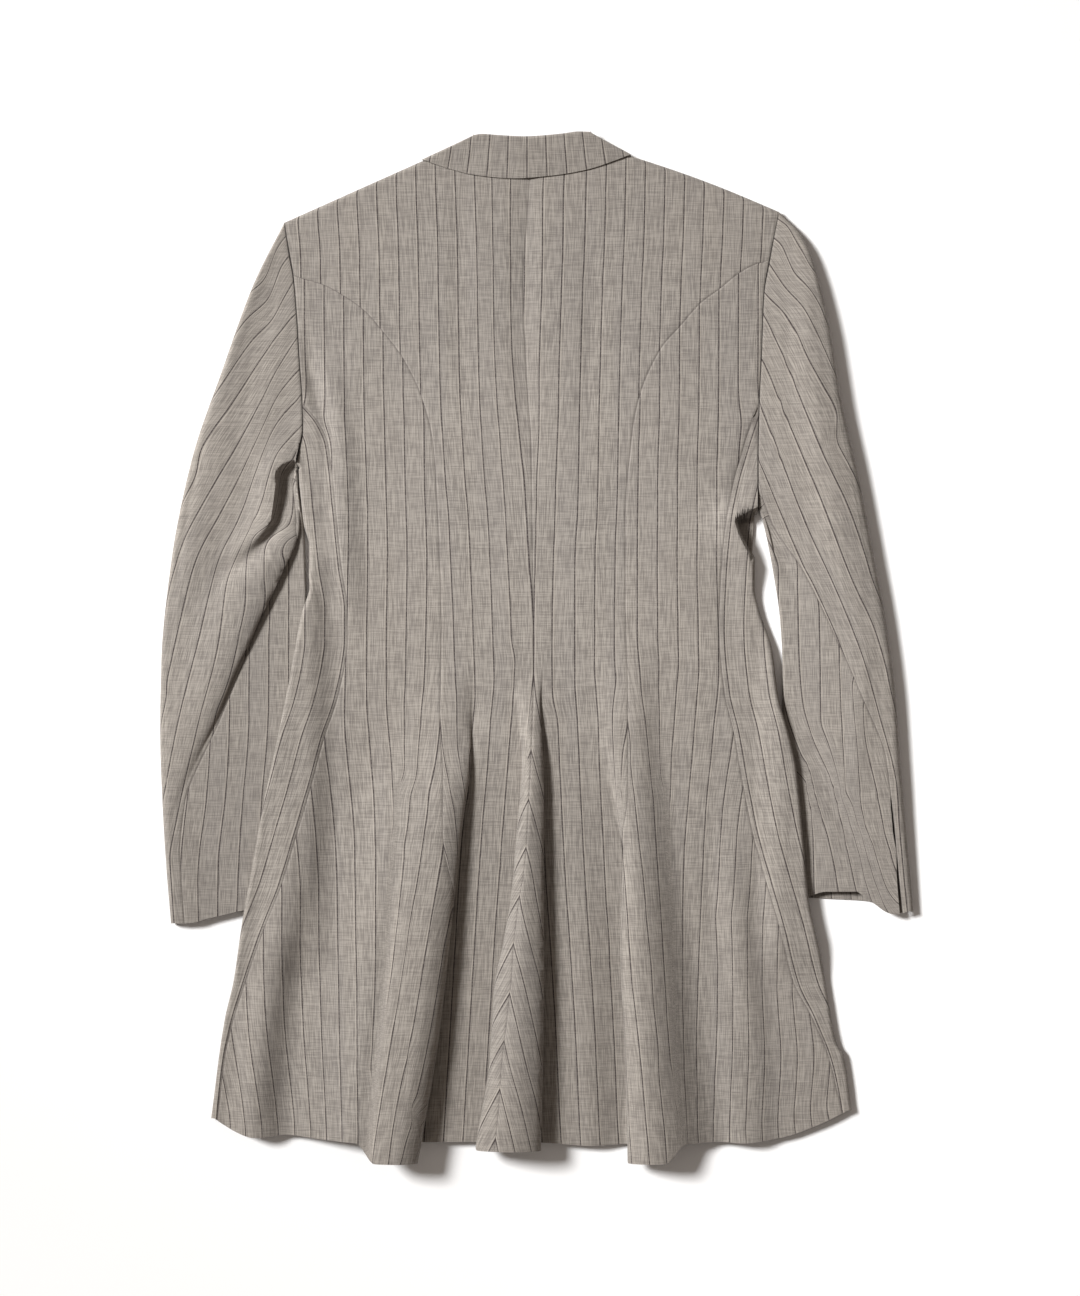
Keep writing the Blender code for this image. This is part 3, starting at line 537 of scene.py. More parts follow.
def sleeveRings(name):
    # rings down a flattened sleeve: the upper sleeve from the elbow seam round the outer edge, and the
    # under sleeve round the inner edge
    sleeve = sleeves[name]
    rows, sign, count = stepped(sleeve["rows"]), sleeve["sign"], len(sleeve["rows"]["seam"])
    armhole = sides[name]["armhole"]
    first = {key: rows[key][0] for key in ("outerX", "outerY", "innerX", "innerY")}
    last = {key: rows[key][-1] for key in ("outerX", "outerY", "innerX", "innerY")}
    cuffSlope = (last["outerY"] - last["innerY"]) / (last["outerX"] - last["innerX"])
    topShares, innerShares = crowded(sleeveGrid["top"]), crowded(sleeveGrid["inner"])
    turn = np.linspace(0, math.pi, sleeveGrid["turn"] + 1)[1:-1]
    upper, under = [], []
    for at in np.linspace(0, count - 1, sleeveGrid["rings"]):
        value = {key: float(read(rows, key, at, "step")) for key in rows}
        ends = np.array([value["innerX"], value["innerY"]]), np.array([value["outerX"], value["outerY"]])
        width = np.linalg.norm(ends[1] - ends[0])
        across = (ends[1] - ends[0]) / width
        half, straight = value["loft"] / 2, ease(at)
        outerHalf = half + value["puff"] / 2
        toCuff = ease((at - count + 3) / 2)

        def flat(w, onTop):
            place = mix(ends[0], ends[1], w[:, None]) + across * mix(half, -outerHalf, w[:, None])
            startX = mix(first["innerX"], first["outerX"], w)
            startY = mix(first["innerY"], first["outerY"], w)
            bow = read(armhole, "x", startY) + sign * 2 * seamGap - startX
            x, y = place[:, 0] + bow * (1 - straight), place[:, 1]
            cuff = sleeve["cuffTop" if onTop else "cuff"]
            y = y + toCuff * (read(cuff, "y", x, "x") - last["innerY"] - (x - last["innerX"]) * cuffSlope)
            z = np.zeros(w.shape)
            if onTop:
                rise, shift = folded(x, y, sleeve["folds"])
                fade = np.where((w > 0) & (w < 1), np.sin(np.pi * np.clip(w, 0, 1)) ** 0.25, 0)
                z = 2 * half + value["puff"] * np.sin(np.pi / 2 * w) ** 1.2 + rise * fade
                x = x + shift * fade
            return np.stack((x, y, z), axis=-1)

        def turned(w, way, radius):
            middle = flat(np.array([w]), False)[0]
            return np.stack((middle[0] + across[0] * way * radius * np.sin(turn),
                             middle[1] + across[1] * way * radius * np.sin(turn),
                             radius + radius * np.cos(turn) * way), axis=-1)

        seam = value["seam"]
        vent = float(read(sleeve["vent"], "gap", mix(value["innerY"], value["outerY"], seam))) / width
        upper.append(np.concatenate((flat(mix(seam, 1, topShares), True), turned(1.0, 1, outerHalf),
                                     flat(np.linspace(1, underSeam, sleeveGrid["belowOuter"]), False))))
        under.append(np.concatenate((flat(np.linspace(underSeam, 0, sleeveGrid["belowInner"]), False),
                                     turned(0.0, -1, half), flat((seam - vent) * innerShares, True))))
    upper, under = np.array(upper), np.array(under)
    outerTop, innerTop = slice(0, len(topShares)), slice(-len(innerShares), None)
    pressCreases(upper[:, outerTop], sleeve["creases"], ease((1 - topShares) * 12))
    pressCreases(under[:, innerTop], sleeve["creases"], ease(innerShares * 12))
    edges = []
    for sheet, shown in ((upper, outerTop), (under, innerTop)):
        top = sheet[:, shown]
        top[..., 2] = np.maximum(top[..., 2], 1.8 * clothThick)
        away = np.full(sheet.shape[:2], farOff)
        lines = (upper[:, 0].copy(), upper[0, outerTop].copy(), under[0, innerTop].copy())
        away[:, shown] = sinkSeams(top, lines)
        edges.append(away)
    return upper, under, edges


# Collar: one row for each section, from the fall's lower edge to its roll line, and how much it rolls
collar = {
    "sections": table("fallX fallY fallZ rollX rollY rollZ roll", (-37, 268, 0, -8, 292, 0, 0),
        (-64, 312, 0, -20, 330, 0, 0), (-82, 362, 0, -36, 380, 0, 0), (-94.5, 403.5, 0.7, -51, 424, 0.7, 0),
        (-96, 406, 6, -53, 426, 6, 0), (-92.5, 404.5, 9.1, -52, 426, 10.6, 0.3),
        (-75, 398.5, 8.4, -46, 427, 11.2, 1), (-50, 392.5, 8.3, -32, 426, 11.2, 1),
        (-20, 390, 8.3, -10, 425, 11.2, 1), (9, 392, 8.3, 18, 427, 11.2, 1),
        (40, 397, 8.3, 34, 429, 11.2, 1), (74, 408.5, 8.8, 43, 428.5, 10.6, 0.3),
        (78, 410, 6, 44, 428.5, 6, 0), (76.5, 407.5, 0.7, 43, 425, 0.7, 0), (61, 362, 0, 26, 380, 0, 0),
        (43, 312, 0, 10, 330, 0, 0), (22, 268, 0, 1, 292, 0, 0)),
    "rollRadius": 2.7, "rowCount": 210,
    "standFrom": -81, "standTo": 63, "standColumns": 60, "standRows": 8,
    "stripeGap": 16.7, "firstStripe": -8.75, "spread": 0.0025, "spreadFrom": 392}


def collarRows():
    sections = stepped(collar["sections"])
    rows = []
    for at in np.linspace(0, sections["step"][-1], collar["rowCount"]):
        value = {key: float(read(sections, key, at, "step")) for key in sections}
        fall = np.array([value["fallX"], value["fallY"], value["fallZ"]])
        roll = np.array([value["rollX"], value["rollY"], value["rollZ"]])
        away = (roll - fall) / np.linalg.norm(roll - fall)
        radius = collar["rollRadius"] * value["roll"]
        start = roll - away * radius
        row = mix(fall, start, np.linspace(0, 1, 26)[:, None])[:-1]
        turn = np.linspace(0, math.pi, 12)[:, None]
        turned = start + away * radius * np.sin(turn) - np.array([0, 0, 1]) * radius * (1 - np.cos(turn))
        rows.append(np.concatenate((row, turned)))
    return np.array(rows)


def standRows():
    line = collar["sections"]
    full = line["roll"] == 1
    rollLine = {"x": line["rollX"][full], "y": line["rollY"][full]}
    t = np.linspace(0, 1, collar["standColumns"])
    topX = mix(rollLine["x"][0], rollLine["x"][-1], t)
    topY = read(rollLine, "y", topX, "x") - collar["rollRadius"] - 2 * seamGap
    left, right = sides["left"]["shoulder"], sides["right"]["shoulder"]
    bottomX = mix(collar["standFrom"], collar["standTo"], t)
    bottomY = np.where(bottomX < left["x"][0], read(left, "y", bottomX, "x"), read(right, "y", bottomX, "x"))
    top = np.stack((topX, topY, np.full(len(t), loft)), axis=-1)
    bottom = np.stack((bottomX, bottomY, np.full(len(t), loft)), axis=-1)
    return np.array([mix(top, bottom, u) for u in np.linspace(0, 1, collar["standRows"])])


def pin(count, *path):
    # the line of one stripe in plan
    return table("x y k", *((*place, count) for place in path))


def track(count, *path, beyond=8):
    # a pin that is carried on a little at both ends
    path = np.array(path, float)
    first, last = (a + (a - b) / np.linalg.norm(a - b) * beyond for a, b in (path[:2], path[:-3:-1]))
    return pin(count, first, *path, last)


# Where the pinstripes show: each pin is a line down a panel on which the stripe count is known
stripes = {
    "back_centre_left": {
        "seamGap": 20.5,
        "seam": table("y k", (460, -0.95), (381, -0.82), (340, -0.67), (306, -0.51), (256, -0.57),
            (206, -0.5), (173, -0.45), (140, -0.3), (106, -0.22), (73, -0.15), (40, -0.05), (6, 0), (-21, 0),
            (-86, -1), (-126, -2), (-166, -3), (-206, -4), (-245, -5), (-286, -6), (-325, -7), (-365, -8),
            (-406, -9), (-431, -9.6)),
        "pins": (
            pin(2, (-54, 460), (-52, 381), (-50.5, 340), (-49.5, 273), (-48, 206), (-46, 173), (-44, 140),
                (-41, 106), (-39.5, 73), (-37, 6), (-36, -27), (-39, -60), (-41, -94), (-44, -127),
                (-49, -194), (-53, -260), (-57, -327), (-61, -394), (-63, -427)),
            track(0, (-5.4, -44), (-7, -60), (-9.2, -81), (-10.4, -98), (-12, -114)),
            track(1, (-18.3, -10), (-20.4, -44), (-23.7, -85), (-26.2, -119), (-29.6, -160), (-31.2, -185),
                (-33.3, -210), (-35, -235)),
            track(3, (-52, -44), (-54.6, -73), (-57, -94), (-57, -119)),
            track(4, (-67, -44), (-66.7, -81), (-63.7, -98), (-61.2, -115)),
            track(5, (-81, -72), (-77, -94), (-72, -119), (-68, -140), (-66.2, -160)),
            track(6, (-77.5, -165), (-73.7, -177), (-70, -198))),
        "outer": table("y k", (73, 4.55), (6, 4.65), (-27, 4.78), (-63, 5), (-163, 6), (-227, 7), (-277, 8),
            (-323, 9), (-365, 10), (-406, 11), (-431, 11.6))},
    "back_centre_right": {
        "seamGap": 14,
        "seam": table("y k", (460, -0.75), (381, -0.82), (340, -0.97), (306, -1.08), (273, -0.97),
            (240, -0.8), (206, -0.67), (173, -0.46), (140, -0.3), (106, -0.23), (73, -0.15), (40, -0.05),
            (6, 0), (-21, 0), (-86, -1), (-126, -2), (-166, -3), (-206, -4), (-245, -5), (-286, -6),
            (-325, -7), (-365, -8), (-406, -9), (-431, -9.6)),
        "pins": (
            pin(2, (42.5, 460), (40.5, 381), (39.5, 340), (38, 306), (36, 240), (34.5, 173), (34, 140),
                (33, 106), (31, 73), (31, 6), (31, -27), (33, -60), (36, -127), (39.5, -194), (44, -260),
                (48, -327), (51, -394), (53, -427)),
            track(3, (47.9, -27), (50.4, -60), (52, -110), (54.6, -160), (57, -210), (59.6, -244)),
            track(4, (65.4, -27), (62, -60), (63.7, -94), (66.2, -127), (69.6, -158)),
            track(5, (72.9, -73), (70.4, -85), (69.6, -106), (68.7, -119))),
        "outer": table("y k", (73, 4.5), (6, 4.6), (-27, 4.7), (-63, 5), (-155, 6), (-215, 7), (-265, 8),
            (-310, 9), (-352, 10), (-394, 11), (-431, 11.9))},
    "back_side_left": {
        "seam": table("y k", (206, 5), (173, 4.6), (140, 4.5), (73, 4.42), (6, 4.35), (-27, 4.25), (-63, 4),
            (-163, 3), (-227, 2), (-277, 1), (-323, 0), (-365, -1), (-406, -2), (-431, -2.6)),
        "pins": (
            table("y x k", (206, -94.5, 5), (140, -94, 5), (73, -92, 5), (6, -93, 5), (-27, -94, 5),
                (-60, -97, 5), (-94, -94, 4.5), (-127, -90.5, 4), (-160, -94.5, 4), (-194, -99.5, 4),
                (-227, -105.5, 4), (-260, -110.5, 4), (-327, -121, 4), (-394, -132, 4), (-427, -137, 4)),
            pin(9, (-161.5, 330), (-160.5, 206), (-158, 140), (-157, 106), (-158, 40), (-159, 6),
                (-160.5, -60), (-158, -94), (-154.5, -127), (-152, -160), (-151, -227), (-149.5, -294),
                (-149, -360), (-148, -427)),
            track(2, (-77, -246), (-88.2, -316), (-99.6, -371), (-113.2, -427)),
            track(3, (-79.9, -177), (-91, -244), (-103, -316), (-117.3, -385), (-123.7, -430)),
            track(5, (-110.4, -177), (-118.8, -255), (-127, -316)),
            track(7, (-125.7, 6), (-125.7, -39), (-121, -98), (-118.5, -145)),
            track(8, (-142, 6), (-142, -39), (-138.5, -90), (-135.4, -133), (-134, -188), (-134, -255),
                (-135.4, -302), (-138, -350))),
        "gather": table("y x share", (-110, -116, 0), (-177, -122, 1), (-255, -126.5, 2), (-316, -131.5, 2),
            (-350, -134, 2), (-400, -140, 2), (-431, -143, 2)),
        "outer": table("y k", (173, 10.25), (140, 9.95), (106, 9.65), (73, 9.4), (40, 9.05), (6, 8.95),
            (-27, 9.2), (-74, 10), (-115, 11), (-156, 12), (-196, 13), (-234, 14), (-277, 15), (-317, 16),
            (-356, 17), (-390, 17.8))},
    "back_side_right": {
        "seam": table("y k", (173, 4.45), (73, 4.5), (6, 4.55), (-27, 4.4), (-63, 4), (-155, 3), (-215, 2),
            (-265, 1), (-310, 0), (-352, -1), (-394, -2), (-431, -2.9)),
        "pins": (
            table("y x k", (173, 84, 5), (73, 83, 5), (6, 83, 5), (-27, 85.5, 5), (-60, 82.5, 4.5),
                (-94, 77, 4), (-127, 80.5, 4), (-160, 84, 4), (-194, 88, 4), (-227, 90.5, 4), (-260, 94, 4),
                (-294, 96, 4), (-327, 99.5, 4), (-360, 101, 4), (-394, 104.5, 4), (-427, 107, 4)),
            track(3, (74.3, -219), (77.8, -274), (81.9, -309), (86, -350), (89.6, -392), (92.9, -429)),
            track(5, (89.6, -60), (93, -94), (96.2, -127), (98.7, -169), (102.5, -225), (105.4, -274),
                (107.7, -316), (111, -350), (116, -385), (118.5, -420)),
            track(7, (116, -27), (113.7, -60), (111, -94), (110.4, -122)),
            track(8, (133.7, -27), (129.6, -77), (125.4, -127), (122, -169), (120.8, -219), (120.8, -288),
                (121.7, -344), (123.8, -385), (125.5, -420)),
            track(10, (147.9, -223), (150, -274), (149.3, -316), (147, -371), (146, -410)),
            pin(9, (151, 340), (150.5, 206), (149, 140), (149, 73), (150.5, 6), (150.5, -27), (147, -60),
                (144, -94), (140.5, -127), (137, -194), (134, -260), (132, -327), (133, -394), (134, -427))),
        "gather": table("y x share", (-115, 107, 0), (-177, 110, 1), (-230, 112, 2), (-288, 114, 2),
            (-344, 116.5, 2), (-385, 120, 2), (-431, 122, 2)),
        "outer": table("y k", (173, 10.3), (140, 9.85), (106, 9.5), (73, 9.28), (40, 9.15), (6, 9.05),
            (-27, 9.2), (-60, 9.8), (-94, 10.5), (-127, 11.3), (-156, 12), (-195, 13), (-230, 14),
            (-275, 15), (-304, 16), (-345, 17), (-377, 17.8))},
    "front_left": {"first": -0.15},
    "front_right": {"first": -0.26},
    "upper_sleeve_left": {
        "way": -1,
        "pins": (
            track(1, (-206, 327), (-214, 316), (-223, 291), (-243, 272), (-257, 250)),
            track(2, (-203, 304), (-210, 293), (-220, 273), (-236, 257), (-257, 227), (-274, 200)),
            track(3, (-201, 278), (-210, 268), (-234, 234), (-254, 203), (-277, 170), (-290, 139)),
            track(4, (-201, 256), (-215, 234), (-230, 204), (-255, 158), (-276, 123), (-296, 84),
                (-309, 35)),
            track(5, (-197, 233), (-216, 209), (-230, 180), (-249, 139), (-266, 107), (-284, 73), (-297, 22),
                (-310, -36)),
            track(6, (-196, 211), (-219, 183), (-233, 149), (-248, 107), (-265, 73), (-281, 8), (-298, -59),
                (-310, -120)),
            track(7, (-196, 185), (-218, 158), (-230, 118), (-245, 85), (-258, 56), (-264, 8), (-281, -61),
                (-296, -124), (-308, -182)),
            track(8, (-236, 92), (-242, 73), (-242, 43), (-248, 8), (-257, -29), (-268, -56)),
            track(9, (-227, 80), (-227, 60), (-226, 42)))},
    "under_sleeve_left": {
        "pins": (
            track(0, (-207, 73), (-207, -35)),
            track(1.7, (-235, 6), (-235, -56), (-241, -135), (-245, -216)),
            track(2.7, (-251, -35), (-252, -89), (-260, -181), (-261, -216)),
            track(3.7, (-267, -75), (-270, -124), (-278, -189), (-277, -225)),
            track(4.7, (-284, -110), (-290, -159), (-294, -225)))},
    "upper_sleeve_right": {
        "way": -1,
        "pins": (
            track(0, (205, 357), (213, 341), (221, 327)),
            track(1, (195, 342), (203, 335), (212, 313), (228, 295), (234, 285)),
            track(2, (192, 321), (205, 300), (221, 282), (239, 246)),
            track(3, (189, 295), (210, 271), (227, 235), (245, 205), (260, 167), (266, 146)),
            track(4, (188, 279), (207, 235), (234, 167), (260, 112), (277, 61), (292, 20), (295, 4)),
            track(5, (186, 243), (205, 196), (236, 121), (261, 56), (280, 15), (295, -40), (298, -57)),
            track(6, (184, 205), (203, 155), (222, 105), (250, 43), (270, -8), (284, -57), (299, -120),
                (300, -140)),
            track(7, (184, 155), (203, 110), (220, 70)))},
    "under_sleeve_right": {
        "pins": (
            track(-1, (224, -110), (229, -147), (230, -203)),
            track(0, (221, -94), (229, -120), (245, -172), (250, -200)),
            track(1, (216, 77), (217, 4), (220, -43), (230, -78), (245, -110), (254, -150), (265, -203)),
            track(2, (234, 38), (235, -31), (235, -66)),
            track(3, (250, 10), (253, -66), (255, -119)),
            track(4, (260, -13), (265, -78), (269, -135), (282, -177), (291, -205)),
            track(5, (269, -40), (270, -66), (280, -112), (292, -168), (310, -219)))}}


def pinAt(row, arc, pin, shown):
    # the place along a row where it crosses a pin's line, and the count there
    off = row[:, 0] - read(pin, "x", row[:, 1])
    reached = (row[1:, 1] <= pin["y"].max()) & (row[1:, 1] >= pin["y"].min()) & shown
    crossing = np.nonzero((off[:-1] * off[1:] <= 0) & reached)[0]
    if not len(crossing):
        return None
    i = crossing[np.argmax(row[crossing, 2])]
    t = off[i] / (off[i] - off[i + 1]) if off[i] != off[i + 1] else 0
    return mix(arc[i], arc[i + 1], t), float(read(pin, "k", mix(row[i, 1], row[i + 1, 1], t)))


def knownCounts(row, arc, layout, shown):
    known = []
    if "seam" in layout and row[0, 1] < layout["seam"]["y"].max() + 1:
        known.append((0.0, float(read(layout["seam"], "k", row[0, 1]))))
    for pin in layout["pins"]:
        found = pinAt(row, arc, pin, shown)
        if found and all(abs(found[0] - other[0]) > 1 for other in known):
            known.append(found)
    known.sort()
    if "outer" in layout and known:
        outer, edgeY = layout["outer"], row[-1, 1]
        natural = known[-1][1] + (arc[-1] - known[-1][0]) / stripeGap
        weight = float(ease((outer["y"].max() + 40 - edgeY) / 40))
        if weight > 0 and arc[-1] > known[-1][0] + 1:
            known.append((arc[-1], mix(natural, float(read(outer, "k", edgeY)), weight)))
    return known


def smoothDown(values, reach=6):
    # a soft average down each column, which carries on straight at both ends
    weights = np.hanning(2 * reach + 3)[1:-1]
    padded = np.pad(values, ((reach, reach), (0, 0)), mode="reflect", reflect_type="odd")
    return sum(weight * padded[i:i + len(values)] for i, weight in enumerate(weights / weights.sum()))


# How cloth is shared out between two known stripes: by how steep it is, and by how far it is gathered
sharing = {"steepFrom": 0.55, "hidden": 3.0, "least": 0.003, "gatherWidth": 2, "seamZone": 10}


def stripeCounts(points, layout, firstShown=0, lastShown=999):
    # Stripe count of every point. It is known on pins and seams; between them stripes keep their gap
    # where the cloth is seen, and the cloth that is left over goes where a fold hides it.
    way, shape = layout.get("way", 1), points.shape[:2]
    panel = "seam" in layout
    along = points * (1, 0, 1) if panel else points
    steps = np.maximum(np.linalg.norm(np.diff(along, axis=1), axis=2), 1e-4)
    arcs = np.concatenate((np.zeros((shape[0], 1)), np.cumsum(steps, axis=1)), axis=1)
    facing = np.sign(points[..., 0].mean())
    columns = np.arange(shape[1] - 1)
    shown = (columns >= firstShown) & (columns < lastShown)
    counts = np.zeros(shape)
    allKnown = [knownCounts(row, arcs[i], layout, shown) for i, row in enumerate(points)]
    pinned = np.array([i for i, known in enumerate(allKnown) if known])
    order = np.concatenate((pinned, np.setdiff1d(np.arange(shape[0]), pinned)))
    for i in order:
        row, arc, step = points[i], arcs[i], steps[i]
        known = allKnown[i]
        if not known:
            near = pinned[np.abs(pinned - i).argmin()]
            beside = np.interp(facing * row[0, 0], facing * points[near][:, 0], counts[near])
            known = [(0.0, beside if panel else counts[near][0])]
        counts[i] = known[0][1] + way * (arc - known[0][0]) / stripeGap
        middle = (arc[1:] + arc[:-1]) / 2
        for (start, first), (end, last) in zip(known, known[1:]):
            inside = (middle > start) & (middle < end)
            if not inside.any():
                continue
            heading = np.sign(np.interp(end, arc, row[:, 0]) - np.interp(start, arc, row[:, 0])) or 1.0
            ahead = heading * row[:, 0]
            furthest = np.maximum.accumulate(np.where(arc >= start, ahead, -1e9))
            hidden = ahead[1:] < furthest[1:] - 0.05
            steep = np.clip(1 - np.diff(ahead) / step / sharing["steepFrom"], 0, None) ** 2
            weight = np.where(hidden, sharing["hidden"], steep) + sharing["least"]
            if "gather" in layout:
                away = (row[1:, 0] - read(layout["gather"], "x", row[1:, 1])) / sharing["gatherWidth"]
                weight = weight + read(layout["gather"], "share", row[1:, 1]) * np.exp(-away ** 2)
            if start == 0 and "seamGap" in layout:
                weight = np.where(middle < min(sharing["seamZone"], 0.6 * end), 1e-5, weight)
            share = np.concatenate(([0.0], np.cumsum(np.where(inside, weight * step, 0))))
            share /= share[-1]
            near = layout.get("seamGap", stripeGap) if start == 0 else stripeGap
            slack = np.where(inside, step * (1 / near - 1 / stripeGap) * (1 - share[1:]), 0)
            slack = way * np.concatenate(([0.0], np.cumsum(slack)))
            excess = last - first - way * (end - start) / stripeGap - slack[-1]
            counts[i] += excess * share + slack
    plain = facing * points[..., 0] / stripeGap if panel else 0
    counts = plain + smoothDown(counts - plain)
    # where cloth is gathered out of sight its stripes would crowd, so they fade
    rates = np.abs(np.diff(counts, axis=1)) * stripeGap / np.maximum(steps, 0.05)
    crowding = np.concatenate((rates[:, :1], (rates[:, 1:] + rates[:, :-1]) / 2, rates[:, -1:]), axis=1)
    return counts, smoothDown(ease((crowding - (2 if panel else 3.5)) / 0.8), 2)


def seamDistance(points, lines):
    # plan distance of every point from the nearest of some seam lines
    flat = points[..., :2].reshape(-1, 2)
    best = np.full(len(flat), farOff)
    for line in lines:
        for start, end in zip(line[:-1, :2], line[1:, :2]):
            d = end - start
            t = np.clip(((flat - start) @ d) / max(float(d @ d), 1e-9), 0, 1)
            best = np.minimum(best, np.linalg.norm(flat - start - t[:, None] * d, axis=1))
    return best.reshape(points.shape[:2])


def sinkSeams(points, lines, depth=0.35, width=0.9):
    # cloth rolls down into a sewn seam, so each seam is a fine groove
    away = seamDistance(points, lines)
    points[..., 2] -= depth * np.exp(-(away / width) ** 2)
    return away


def makeCloth(name, tint, seed):
    # worsted: streaks of light and dark yarn both ways, dark pinstripes, painted shade along the seams, and
    # a faint weave in relief
    finish = {"light": (0.338, 0.308, 0.274, 1), "dark": (0.173, 0.155, 0.139, 1),
              "cool": (0.235, 0.218, 0.213, 1), "slub": (0.16, 0.13, 0.115, 1),
              "stripe": (0.035, 0.026, 0.026, 1), "glint": (0.56, 0.50, 0.43, 1),
              "stripeWidth": 0.9, "seamShade": 0.36, "weaveGap": 0.0011,
              "inputs": {"Roughness": 0.86, "Sheen Weight": 0.18, "Sheen Roughness": 0.5,
                         "Specular IOR Level": 0.25}}
    material = bpy.data.materials.new(name)
    material.use_nodes = True
    nodes, links = material.node_tree.nodes, material.node_tree.links
    shader = nodes["Principled BSDF"]
    for key, value in finish["inputs"].items():
        shader.inputs[key].default_value = value

    def node(kind, **values):
        made = nodes.new(kind)
        for key, value in values.items():
            setattr(made, key, value)
        return made

    def feed(target, value):
        if isinstance(value, bpy.types.NodeSocket):
            links.new(value, target)
        else:
            target.default_value = value

    def maths(operation, a, b=0.0, clamp=False):
        made = node("ShaderNodeMath", operation=operation, use_clamp=clamp)
        for socket, value in zip(made.inputs, (a, b)):
            feed(socket, value)
        return made.outputs[0]

    def blend(factor, a, b):
        made = node("ShaderNodeMix", data_type="RGBA")
        feed(made.inputs["Factor"], factor)
        feed(made.inputs["A"], a)
        feed(made.inputs["B"], b)
        return made.outputs["Result"]

    def ramp(value, low, high):
        made = node("ShaderNodeMapRange", interpolation_type="SMOOTHSTEP")
        for key, item in (("Value", value), ("From Min", low), ("From Max", high)):
            feed(made.inputs[key], item)
        return made.outputs["Result"]

    def threads(acrossU, acrossV, detail, offset):
        # noise drawn out along one yarn direction: threads per metre across u and along v
        joined = node("ShaderNodeCombineXYZ")
        feed(joined.inputs["X"], maths("MULTIPLY", u, acrossU))
        feed(joined.inputs["Y"], maths("MULTIPLY", v, acrossV))
        joined.inputs["Z"].default_value = seed * 7.3 + offset
        noise = node("ShaderNodeTexNoise", noise_dimensions="3D")
        feed(noise.inputs["Vector"], joined.outputs[0])
        noise.inputs["Scale"].default_value = 1.0
        noise.inputs["Detail"].default_value = detail
        return noise.outputs["Fac"]

    def mapped(name):
        # both numbers of a UV map
        apart = node("ShaderNodeSeparateXYZ")
        links.new(node("ShaderNodeUVMap", uv_map=name).outputs["UV"], apart.inputs[0])
        return apart.outputs["X"], apart.outputs["Y"]

    u, v = mapped("cloth")
    fromSeam, plainer = (maths("MULTIPLY", value, 1 / mm) for value in mapped("edges"))

    warp = threads(1650, 70, 1, 0)
    weft = threads(62, 1550, 1, 3)
    bands = threads(55, 2.5, 2, 9)
    patches = threads(9, 7, 1, 15)
    slubs = threads(110, 1500, 0, 21)

    tone = maths("ADD", maths("MULTIPLY", warp, 0.62), maths("MULTIPLY", weft, 0.38))
    base = blend(ramp(tone, 0.34, 0.66), finish["dark"], finish["light"])
    base = blend(maths("MULTIPLY", ramp(bands, 0.4, 0.66), 0.12), base, finish["cool"])
    base = blend(maths("MULTIPLY", ramp(patches, 0.35, 0.7), 0.05), base, (*tint, 1))
    base = blend(maths("MULTIPLY", ramp(slubs, 0.66, 0.78), 0.16), base, finish["slub"])

    # distance from the nearest stripe, in millimetres, with a little unevenness from yarn to yarn
    uneven = maths("MULTIPLY", maths("SUBTRACT", warp, 0.5), 0.012)
    turns = maths("ADD", maths("DIVIDE", u, stripeGap * mm), uneven)
    offset = maths("SUBTRACT", maths("FRACT", maths("ADD", turns, 0.5)), 0.5)
    distance = maths("MULTIPLY", maths("ABSOLUTE", offset), stripeGap)
    broken = threads(60, 620, 1, 30)
    line = maths("SUBTRACT", 1.0, ramp(distance, finish["stripeWidth"] * 0.32, finish["stripeWidth"] * 0.72))
    line = maths("MULTIPLY", line, maths("ADD", 0.72, maths("MULTIPLY", ramp(broken, 0.35, 0.6), 0.26)))
    line = maths("MULTIPLY", line, maths("SUBTRACT", 1.0, plainer, clamp=True))
    base = blend(line, base, finish["stripe"])
    # a lighter yarn beside each stripe, and painted shade in the fine groove where two pieces meet
    beside = maths("ABSOLUTE", maths("SUBTRACT", maths("MULTIPLY", offset, stripeGap), 1.25))
    glint = maths("MULTIPLY", maths("SUBTRACT", 1.0, ramp(beside, 0.2, 0.6)), 0.22)
    base = blend(glint, base, finish["glint"])
    # painted shade: the seam's groove is too fine for the mesh, so its shade is darkened into the colour
    # within a millimetre of each seam
    seamGrooveShade = maths("MULTIPLY", maths("SUBTRACT", 1.0, ramp(fromSeam, 0.15, 0.65)), finish["seamShade"])
    base = blend(seamGrooveShade, base, finish["stripe"])
    links.new(base, shader.inputs["Base Color"])

    wave = 2 * math.pi / finish["weaveGap"]
    weave = maths("MULTIPLY", *(maths("SINE", maths("MULTIPLY", value, wave)) for value in (u, v)))
    relief = maths("ADD", maths("MULTIPLY", weave, 0.25), maths("ADD", warp, weft))
    bump = node("ShaderNodeBump")
    bump.inputs["Strength"].default_value = 0.35
    bump.inputs["Distance"].default_value = 0.0006
    links.new(relief, bump.inputs["Height"])
    links.new(bump.outputs["Normal"], shader.inputs["Normal"])
    return material


cloths = {
    "back": makeCloth("backWorsted", (0.50, 0.43, 0.36), 1),
    "front": makeCloth("frontWorsted", (0.48, 0.42, 0.35), 2),
    "sleeve": makeCloth("sleeveWorsted", (0.49, 0.43, 0.36), 3),
    "collar": makeCloth("collarWorsted", (0.51, 0.45, 0.38), 4)}
print("cloths made")


